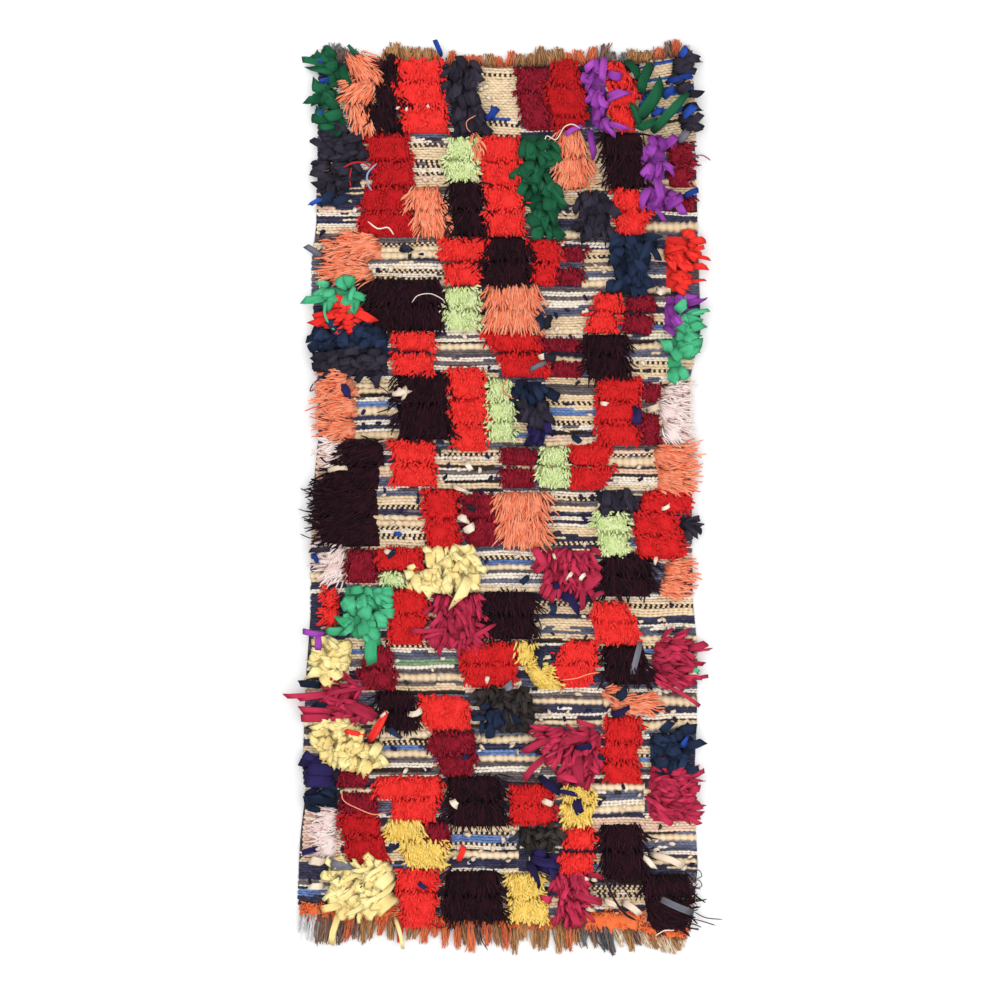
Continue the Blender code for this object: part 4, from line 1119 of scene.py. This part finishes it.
def ramp(tree, source, stops):
    """The colour of a ramp fed by source. stops holds (place, colour)."""
    node = add_node(tree, "ValToRGB", sources=(("Fac", source),))
    elements = node.color_ramp.elements
    while len(elements) > 1:
        elements.remove(elements[-1])
    elements[0].position = stops[0][0]
    elements[0].color = (*stops[0][1], 1.0)
    for place, colour in stops[1:]:
        elements.new(place).color = (*colour, 1.0)
    return node.outputs["Color"]


def split_map(tree, name):
    """The u and v of one of the pieces' maps."""
    place = add_node(tree, "UVMap", uv_map=name)
    split = add_node(tree, "SeparateXYZ", sources=((0, place.outputs["UV"]),))
    return split.outputs["X"], split.outputs["Y"]


def multiply(tree, first, second):
    """The product of two colours."""
    mix = add_node(tree, "Mix", (("Factor", 1.0),), data_type="RGBA", blend_type="MULTIPLY")
    tree.links.new(first, mix.inputs["A"])
    tree.links.new(second, mix.inputs["B"])
    return mix.outputs["Result"]


def darken_edges(tree, colour):
    """The colour of a strip with a thin dark line along its cut edges, from its second map: partly frayed
    edge, partly painted shadow between strips.
    """
    u, v = split_map(tree, PLY_MAP)
    across = add_node(tree, "Math", sources=((0, u),), operation="ABSOLUTE")
    farthest = add_node(tree, "Math", sources=((0, across.outputs[0]), (1, v)), operation="MAXIMUM")
    return multiply(tree, colour, ramp(tree, farthest.outputs[0], RAG_EDGE_FRAY_AND_PAINTED_SHADOW))


def fibre_relief(tree, fibre):
    """Height of a fibre's grain, and of its plies where it has them."""
    place = (("Vector", add_node(tree, "TexCoord").outputs["Object"]),)
    noise = add_node(tree, "TexNoise", (("Scale", fibre.grain), ("Detail", 3.0)), place)
    if not fibre.ply:
        return noise.outputs["Fac"]
    along = (("Vector", add_node(tree, "UVMap", uv_map=PLY_MAP).outputs["UV"]),)
    stretch = add_node(tree, "Mapping", (("Scale", (1.0, 1.0 / fibre.ply, 1.0)),), along)
    turns = (("Vector", stretch.outputs["Vector"]),)
    plies = (("Scale", 0.45), ("Distortion", 0.6))
    wave = add_node(tree, "TexWave", plies, turns, bands_direction="DIAGONAL")
    heights = ((0, noise.outputs["Fac"]), (2, wave.outputs["Fac"]))
    join = add_node(tree, "Math", ((1, GRAIN_SHARE),), heights, operation="MULTIPLY_ADD")
    return join.outputs[0]


def fibre_material(name, stops, fibre):
    """A yarn or cloth: its tone from the map's u, darker towards the root along v by painted shade, with a
    fine relief.
    """
    material, tree, shader = new_material(name)
    u, v = split_map(tree, BAKE_MAP)
    # Painted shade: the tone is multiplied by a ramp along v, darker at the roots and between weft beads
    colour = multiply(tree, ramp(tree, u, stops), ramp(tree, v, fibre.root_shade))
    if fibre.hem:
        colour = darken_edges(tree, colour)
    tree.links.new(colour, shader.inputs["Base Color"])
    shader.inputs["Roughness"].default_value = fibre.roughness
    shader.inputs["Specular IOR Level"].default_value = 0.12
    shader.inputs["Sheen Weight"].default_value = fibre.sheen
    shader.inputs["Sheen Roughness"].default_value = 0.5
    relief = fibre_relief(tree, fibre)
    bump = add_node(tree, "Bump", (("Strength", 0.5), ("Distance", 0.0006)), (("Height", relief),))
    tree.links.new(bump.outputs["Normal"], shader.inputs["Normal"])
    return material


def two_tone(dark, light):
    """Stops of a ramp from a dark to a light colour."""
    return ((0.0, dark), (0.5, tuple((a + b) / 2.0 for a, b in zip(dark, light))), (1.0, light))


def make_yarn_pile():
    """A piece for each colour of yarn."""
    made = []
    for number, (colour, yarn) in enumerate(YARNS.items()):
        rng = np.random.default_rng(YARN_SEED + number)
        shapes = Shapes()
        for patch in YARN_PATCHES[colour]:
            add_yarn_patch(shapes, patch, yarn, rng)
        material = fibre_material(f"{colour}_yarn", two_tone(yarn.dark, yarn.light), YARN_FIBRE)
        made.append(shapes.build(f"yarn_{colour}", material))
    return made


def make_rag_pile():
    """A piece for each colour of rag."""
    made = []
    for number, (colour, rag) in enumerate(RAGS.items()):
        rng = np.random.default_rng(RAG_SEED + number)
        shapes = Shapes()
        for patch in RAG_PATCHES.get(colour, ()):
            add_rag_patch(shapes, patch, rag, rng)
        add_laid_strips(shapes, colour, rng)
        add_knots(shapes, colour, rng)
        material = fibre_material(f"{colour}_rag", two_tone(rag.dark, rag.light), RAG_FIBRE)
        made.append(shapes.build(f"rag_{colour}", material, smooth=False))
    return made


def sides_at(patch, down):
    """Left and right side of a patch at a height on the chart."""
    share = (down - patch.top) / (patch.bottom - patch.top)
    left = patch.left + (patch.low_left - patch.left) * share
    return left, patch.right + (patch.low_right - patch.right) * share


def is_bare(across, down):
    """Whether a place lies on the rug and under no patch."""
    for patch in ALL_PATCHES:
        if patch.top - EDGE_MARGIN < down < patch.bottom + EDGE_MARGIN:
            low, high = sides_at(patch, down)
            if low - EDGE_MARGIN < across < high + EDGE_MARGIN:
                return False
    left, right = read_line(LEFT_EDGE, down), read_line(RIGHT_EDGE, down)
    top, bottom = read_line(TOP_EDGE, across), read_line(BOTTOM_EDGE, across)
    if not left + BARE_FROM_SIDE < across < right - BARE_FROM_SIDE:
        return False
    return top + BARE_FROM_TOP < down < bottom - BARE_FROM_BOTTOM


def open_spans(left, right, down, boxes):
    """Stretches of a row that neither a patch nor one of the boxes covers."""
    at = np.arange(left, right, SPAN_STEP)
    is_open = np.ones(len(at), bool)
    for patch in ALL_PATCHES:
        if patch.top + PATCH_INSET < down < patch.bottom - EDGE_MARGIN:
            low, high = sides_at(patch, down)
            is_open &= (at < low + PATCH_INSET) | (at > high - PATCH_INSET)
    for box_left, box_right, top, bottom in boxes:
        if top <= down < bottom:
            is_open &= (at < box_left) | (at > box_right)
    turns = np.flatnonzero(np.diff(np.concatenate(((False,), is_open, (False,))).astype(int)))
    spans = [(at[a], at[b - 1] + SPAN_STEP) for a, b in zip(turns[::2], turns[1::2])]
    return [(max(left, a), min(right, b)) for a, b in spans if b - a > SHORTEST_SPAN]


def bead_colours(beads, stripe, row, rng):
    """The colour number of each bead, which changes for a few beads in some rows."""
    names = list(WEFTS)
    turns = len(stripe.colours)
    colours = [names.index(stripe.colours[(number + row) % turns]) for number in range(beads + 2)]
    if rng.uniform() < SPLICE_SHARE and beads > SPLICE_FROM and stripe.colours != PLAIN:
        first = rng.integers(0, beads)
        last = first + rng.integers(*SPLICE_BEADS)
        splice = names.index(SPLICES[rng.integers(0, len(SPLICES))])
        colours[first:last] = [splice] * len(colours[first:last])
    return np.array(colours)


def weft_row(shapes, left, right, down, slope, stripe, half, row, rng):
    """One row of weft: a closed tube that swells into a bead over each warp."""
    beads = max(1, int(round((right - left) / stripe.pitch)))
    offset = 0.5 * stripe.pitch if row % 2 else 0.0
    edges = left - offset + np.arange(2 * beads + 3) * stripe.pitch / 2.0
    edges += rng.normal(0.0, BEAD_STRAY * stripe.pitch, len(edges))
    edges = np.clip(edges, left - EDGE_MARGIN, right + EDGE_MARGIN)
    rings = len(edges)
    is_crest = np.arange(rings) % 2 == 1
    swell = np.where(is_crest, 1.0, stripe.valley) * (1.0 + rng.normal(0.0, SWELL_STRAY, rings))
    crest = WEFT_BASE + (stripe.crest - WEFT_BASE) * swell
    wide = half * np.where(is_crest, BEAD_WIDTH, NECK_WIDTH) * (1.0 + rng.normal(0.0, WIDTH_STRAY, rings))
    waver = MIDDLE_WAVER * drift(edges, 0.0 * edges + down, *WEFT_WAVER)
    waver = waver + rng.normal(0.0, MIDDLE_STRAY, rings)
    middle = down + slope * (edges - left) + waver
    foot = np.full(rings, WEFT_BASE)
    corners = []
    for side, z in ((1.0, foot), (0.0, crest), (-1.0, foot)):
        corners.append(np.stack((chart_x(edges), chart_y(middle + side * wide), z), 1))
    around = len(corners)
    points = np.stack(corners, 1).reshape(-1, 3)
    quads = np.array(tube_quads(rings, around))
    bead = quads[:, 0] // around // 2
    colours = bead_colours(beads, stripe, row, rng)
    tone = rng.uniform(*ROW_TONES) * ROW_TONE_SHARE + rng.uniform(*BEAD_TONES, beads + 2)
    bands = len(WEFTS)
    u = ((colours + tone)[bead] / bands)[:, None] + CORNER_TONES / bands
    # v is high on the crests and low in the necks between beads, where painted shade darkens the weft
    v = MAP_START + MAP_RUN * is_crest[quads // around] + CORNER_HEIGHTS
    shapes.add_with_corner_maps(points, quads, np.stack((u, v), 2))


def region_rows(region):
    """Each row of a region: its middle, its depth and its stripe."""
    down = region.top
    for token in region.stripes.split():
        stripe, depth = STRIPES[token[0]], float(token[1:])
        rows = max(1, int(round(depth / stripe.depth)))
        for _ in range(rows):
            yield down + 0.5 * depth / rows, depth / rows, stripe
            down += depth / rows


def make_weft():
    """All rows of weft that show between the patches."""
    rng = np.random.default_rng(WEFT_SEED)
    shapes = Shapes()
    boxes = []
    for region in REGIONS + (FILLER,):
        bottom, slope = region.top, region.slope
        for row, (down, depth, stripe) in enumerate(region_rows(region)):
            left = max(region.left, read_line(LEFT_EDGE, down))
            right = min(region.right, read_line(RIGHT_EDGE, down))
            half = ROW_OVERLAP * depth
            for low, high in open_spans(left, right, down, boxes):
                middle = 0.5 * (low + high)
                top, foot = read_line(TOP_EDGE, middle), read_line(BOTTOM_EDGE, middle)
                if top + EDGE_MARGIN < down < foot - EDGE_MARGIN:
                    start = down + slope * (low - left)
                    weft_row(shapes, low, high, start, slope, stripe, half, row, rng)
            bottom = down + 0.5 * depth
        boxes.append((region.left, region.right, region.top, bottom))
    stops = []
    for number, (dark, light) in enumerate(WEFTS.values()):
        stops.append(((number + BAND_EDGE) / len(WEFTS), dark))
        stops.append(((number + 1.0 - BAND_EDGE) / len(WEFTS), light))
    return shapes.build("weft_rows", fibre_material("weft_rows", stops, WEFT_FIBRE))


def ground_material():
    """The flat weave between and under the beads: dark as painted shadow between the rows, ribbed by the
    warps.
    """
    material, tree, shader = new_material("ground_weave_painted_shadow")
    place = (("Vector", add_node(tree, "TexCoord").outputs["Object"]),)
    bands = (("Scale", 8.0), ("Distortion", 3.0), ("Detail", 3.0), ("Detail Scale", 4.0))
    stripes = add_node(tree, "TexWave", bands, place, bands_direction="Y")
    tree.links.new(ramp(tree, stripes.outputs["Fac"], GROUND_PAINTED_SHADOW_COLOURS), shader.inputs["Base Color"])
    shader.inputs["Roughness"].default_value = 0.95
    ribs = add_node(tree, "TexWave", (("Scale", 28.0),), place, bands_direction="X")
    height = (("Height", ribs.outputs["Fac"]),)
    bump = add_node(tree, "Bump", (("Strength", 0.7), ("Distance", 0.001)), height)
    tree.links.new(bump.outputs["Normal"], shader.inputs["Normal"])
    return material


def make_ground():
    """The woven ground: a closed, thin, slightly uneven sheet between the four edges."""
    columns, rows = SHEET_CELLS
    t = np.linspace(0.0, 1.0, rows + 1)[:, None]
    s = np.linspace(0.0, 1.0, columns + 1)[None, :]
    level = TOP_EDGE[0][1] + (BOTTOM_EDGE[-1][1] - TOP_EDGE[0][1]) * t
    left, right = read_line(LEFT_EDGE, level), read_line(RIGHT_EDGE, level)
    across = left + (right - left) * s
    top, bottom = read_line(TOP_EDGE, across), read_line(BOTTOM_EDGE, across)
    down = top + (bottom - top) * t
    z = SHEET_TOP + SHEET_UNEVEN * drift(across, down, *SHEET_WAVES)
    bake = MAP_START + MAP_RUN * np.stack(np.broadcast_arrays(s, t), 2)
    shapes = Shapes()
    add_slab(shapes, np.stack((chart_x(across), chart_y(down), z), 2), SHEET_UNDER, bake)
    obj = shapes.build("woven_ground", ground_material())
    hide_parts("rug_body")
    return obj


def add_tuft(shapes, end, root, tip_across, tip_down, rng):
    """One warp tuft: a bundle of fine strands that lie on the floor."""
    count = end.strands
    base = read_line(end.edge, root) - end.outward * WARP_ROOT_INSET
    across = root + rng.uniform(-end.width, end.width, count)
    down = base + rng.uniform(-WARP_ROOT_STRAY, WARP_ROOT_STRAY, count)
    reach = rng.uniform(*WARP_REACHES, count)
    reach[0] = 1.0
    dx = tip_across + rng.normal(0.0, end.width * WARP_TIP_SPREAD, count) - across
    dy = tip_down - down
    heading = np.arctan2(dx, dy)
    length = np.hypot(dx, dy) * reach
    lift = rng.uniform(*WARP_LIFTS, count)
    thickness = rng.uniform(*WARP_WIDTHS, count)
    add_strands(shapes, rng, across, down, heading, length, lift, thickness, WARP_STRAND)


def make_fringe(end):
    """The warp tufts of one end, a piece for each colour."""
    made = []
    for number, (colour, tones) in enumerate(TUFT_COLOURS.items()):
        if colour not in end.tufts:
            continue
        rng = np.random.default_rng(end.seed + number)
        shapes = Shapes()
        for root, tip_across, tip_down in end.tufts[colour]:
            add_tuft(shapes, end, root, tip_across, tip_down, rng)
        name = f"{end.name}_{colour}"
        made.append(shapes.build(name, fibre_material(name, two_tone(*tones), WARP_FIBRE), end.slot))
    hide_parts(end.node)
    return made


def smooth_route(points, count):
    """A smooth curve through the places that a string passes."""
    points = np.array(points, float)
    padded = np.vstack((2 * points[0] - points[1], points, 2 * points[-1] - points[-2]))
    at = np.linspace(0.0, len(points) - 1.0, count)
    cell = np.minimum(at.astype(int), len(points) - 2)
    t = (at - cell)[:, None]
    a, b, c, d = (padded[cell + step] for step in range(4))
    return 0.5 * (2 * b + (c - a) * t + (2 * a - 5 * b + 4 * c - d) * t**2 + (3 * b - a - 3 * c + d) * t**3)


def string_spine(route, count, share):
    """Points along a string: over the pile on the rug, lower beside it, and evened where it comes down."""
    across, down = smooth_route(route, count).T
    inside = (across > read_line(LEFT_EDGE, down)) & (across < read_line(RIGHT_EDGE, down))
    z = np.where(inside, STRING_OVER_PILE, STRING_OUTSIDE) - STRING_FALL * share
    padded = np.pad(z, STRING_EVENED // 2, mode="edge")
    z = np.convolve(padded, np.ones(STRING_EVENED) / STRING_EVENED, mode="valid")
    return np.stack((chart_x(across), chart_y(down), z), 1)


def add_string(shapes, thickness, route, rng):
    """A loose end of yarn: a closed round tube, thinner at both tips."""
    count = STRING_RINGS * len(route)
    share = np.linspace(0.0, 1.0, count)
    spine = string_spine(route, count, share)
    right, up, _ = axes_along(spine)
    swell = np.minimum(1.0, STRING_TIP + STRING_SWELL * np.minimum(share, 1.0 - share))
    radius = thickness / 2.0 * swell
    rings = []
    for corner in range(STRING_SIDES):
        angle = 2.0 * math.pi * corner / STRING_SIDES
        rings.append(spine + (right * math.cos(angle) + up * math.sin(angle)) * radius[:, None])
    points = np.stack(rings, 1).reshape(-1, 3)
    quads = np.array(tube_quads(count, STRING_SIDES))
    first = np.arange(STRING_SIDES)
    caps = np.array((first, (count - 1) * STRING_SIDES + first[::-1]))
    tone = rng.uniform(*STRING_TONES) + np.linspace(-STRING_SIDE_TONE, STRING_SIDE_TONE, STRING_SIDES)
    shape = (count, STRING_SIDES)
    bake = pair(tone, 0.6 + 0.4 * share[:, None], shape)
    ply = pair(np.linspace(0.0, 2.0, STRING_SIDES), share[:, None] * count * STRING_FIBRE.ply, shape)
    shapes.add(points, [quads, caps], bake, ply)


def make_strings():
    """Loose ends of yarn that wander over the pile, a piece for each colour."""
    made = []
    tones = dict(TUFT_COLOURS)
    tones.update({colour: (yarn.dark, yarn.light) for colour, yarn in YARNS.items()})
    tones["jade"] = (RAGS["jade"].dark, RAGS["jade"].light)
    tones["cream"] = PALE_STRING
    rng = np.random.default_rng(STRING_SEED)
    for colour in sorted(STRINGS):
        shapes = Shapes()
        for thickness, route in STRINGS[colour]:
            add_string(shapes, thickness, route, rng)
        name = f"string_{colour}"
        made.append(shapes.build(name, fibre_material(name, two_tone(*tones[colour]), STRING_FIBRE)))
    return made


def make_floor():
    """A plain pale floor."""
    mesh = bpy.data.meshes.new("floor")
    signs = ((-1, -1), (1, -1), (1, 1), (-1, 1))
    mesh.from_pydata([(x * FLOOR_SIZE, y * FLOOR_SIZE, FLOOR_HEIGHT) for x, y in signs], [], [(0, 1, 2, 3)])
    material, _, shader = new_material("floor")
    shader.inputs["Base Color"].default_value = FLOOR_COLOUR
    shader.inputs["Roughness"].default_value = 0.9
    mesh.materials.append(material)
    floor = bpy.data.objects.new("floor", mesh)
    bpy.context.scene.collection.objects.link(floor)
    floor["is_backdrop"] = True


def add_lamp(lamp):
    """A soft square lamp that points at the middle of the rug."""
    light = bpy.data.lights.new(lamp.name, "AREA")
    light.shape = "SQUARE"
    light.size = lamp.size
    light.energy = lamp.power
    obj = bpy.data.objects.new(lamp.name, light)
    obj.location = lamp.place
    x, y, z = lamp.place
    obj.rotation_euler = (math.atan2(math.hypot(x, y), z), 0.0, math.atan2(-x, y))
    bpy.context.scene.collection.objects.link(obj)


def light_scene():
    """Soft studio light, stronger from the upper left."""
    world = bpy.data.worlds.new("studio")
    world.use_nodes = True
    background = world.node_tree.nodes["Background"]
    background.inputs["Color"].default_value = (1.0, 1.0, 1.0, 1.0)
    background.inputs["Strength"].default_value = SKY_STRENGTH
    bpy.context.scene.world = world
    for lamp in LAMPS:
        add_lamp(lamp)
    bpy.context.scene.view_settings.view_transform = "Standard"


def add_camera():
    """A long lens straight above the rug, so that the frame spans 2.5 m."""
    camera = bpy.data.cameras.new("camera")
    camera.lens = LENS
    camera.sensor_width = SENSOR
    camera.clip_end = 50.0
    obj = bpy.data.objects.new("camera", camera)
    obj.location = (*CAMERA_ASIDE, FRAME_UNITS * CHART_UNIT * LENS / SENSOR + CAMERA_FURTHER)
    bpy.context.scene.collection.objects.link(obj)
    bpy.context.scene.camera = obj


def main():
    """The whole scene: camera, light, floor, and the woven ground with everything that lies on it."""
    add_camera()
    light_scene()
    make_floor()
    ground = make_ground()
    laid = [make_weft()] + make_yarn_pile() + make_rag_pile() + make_strings()
    for end in ENDS:
        laid += make_fringe(end)


main()
sizes = {"cad": CAD_BOX, "visual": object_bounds()}
{name: [list(corner) for corner in box] for name, box in sizes.items()}
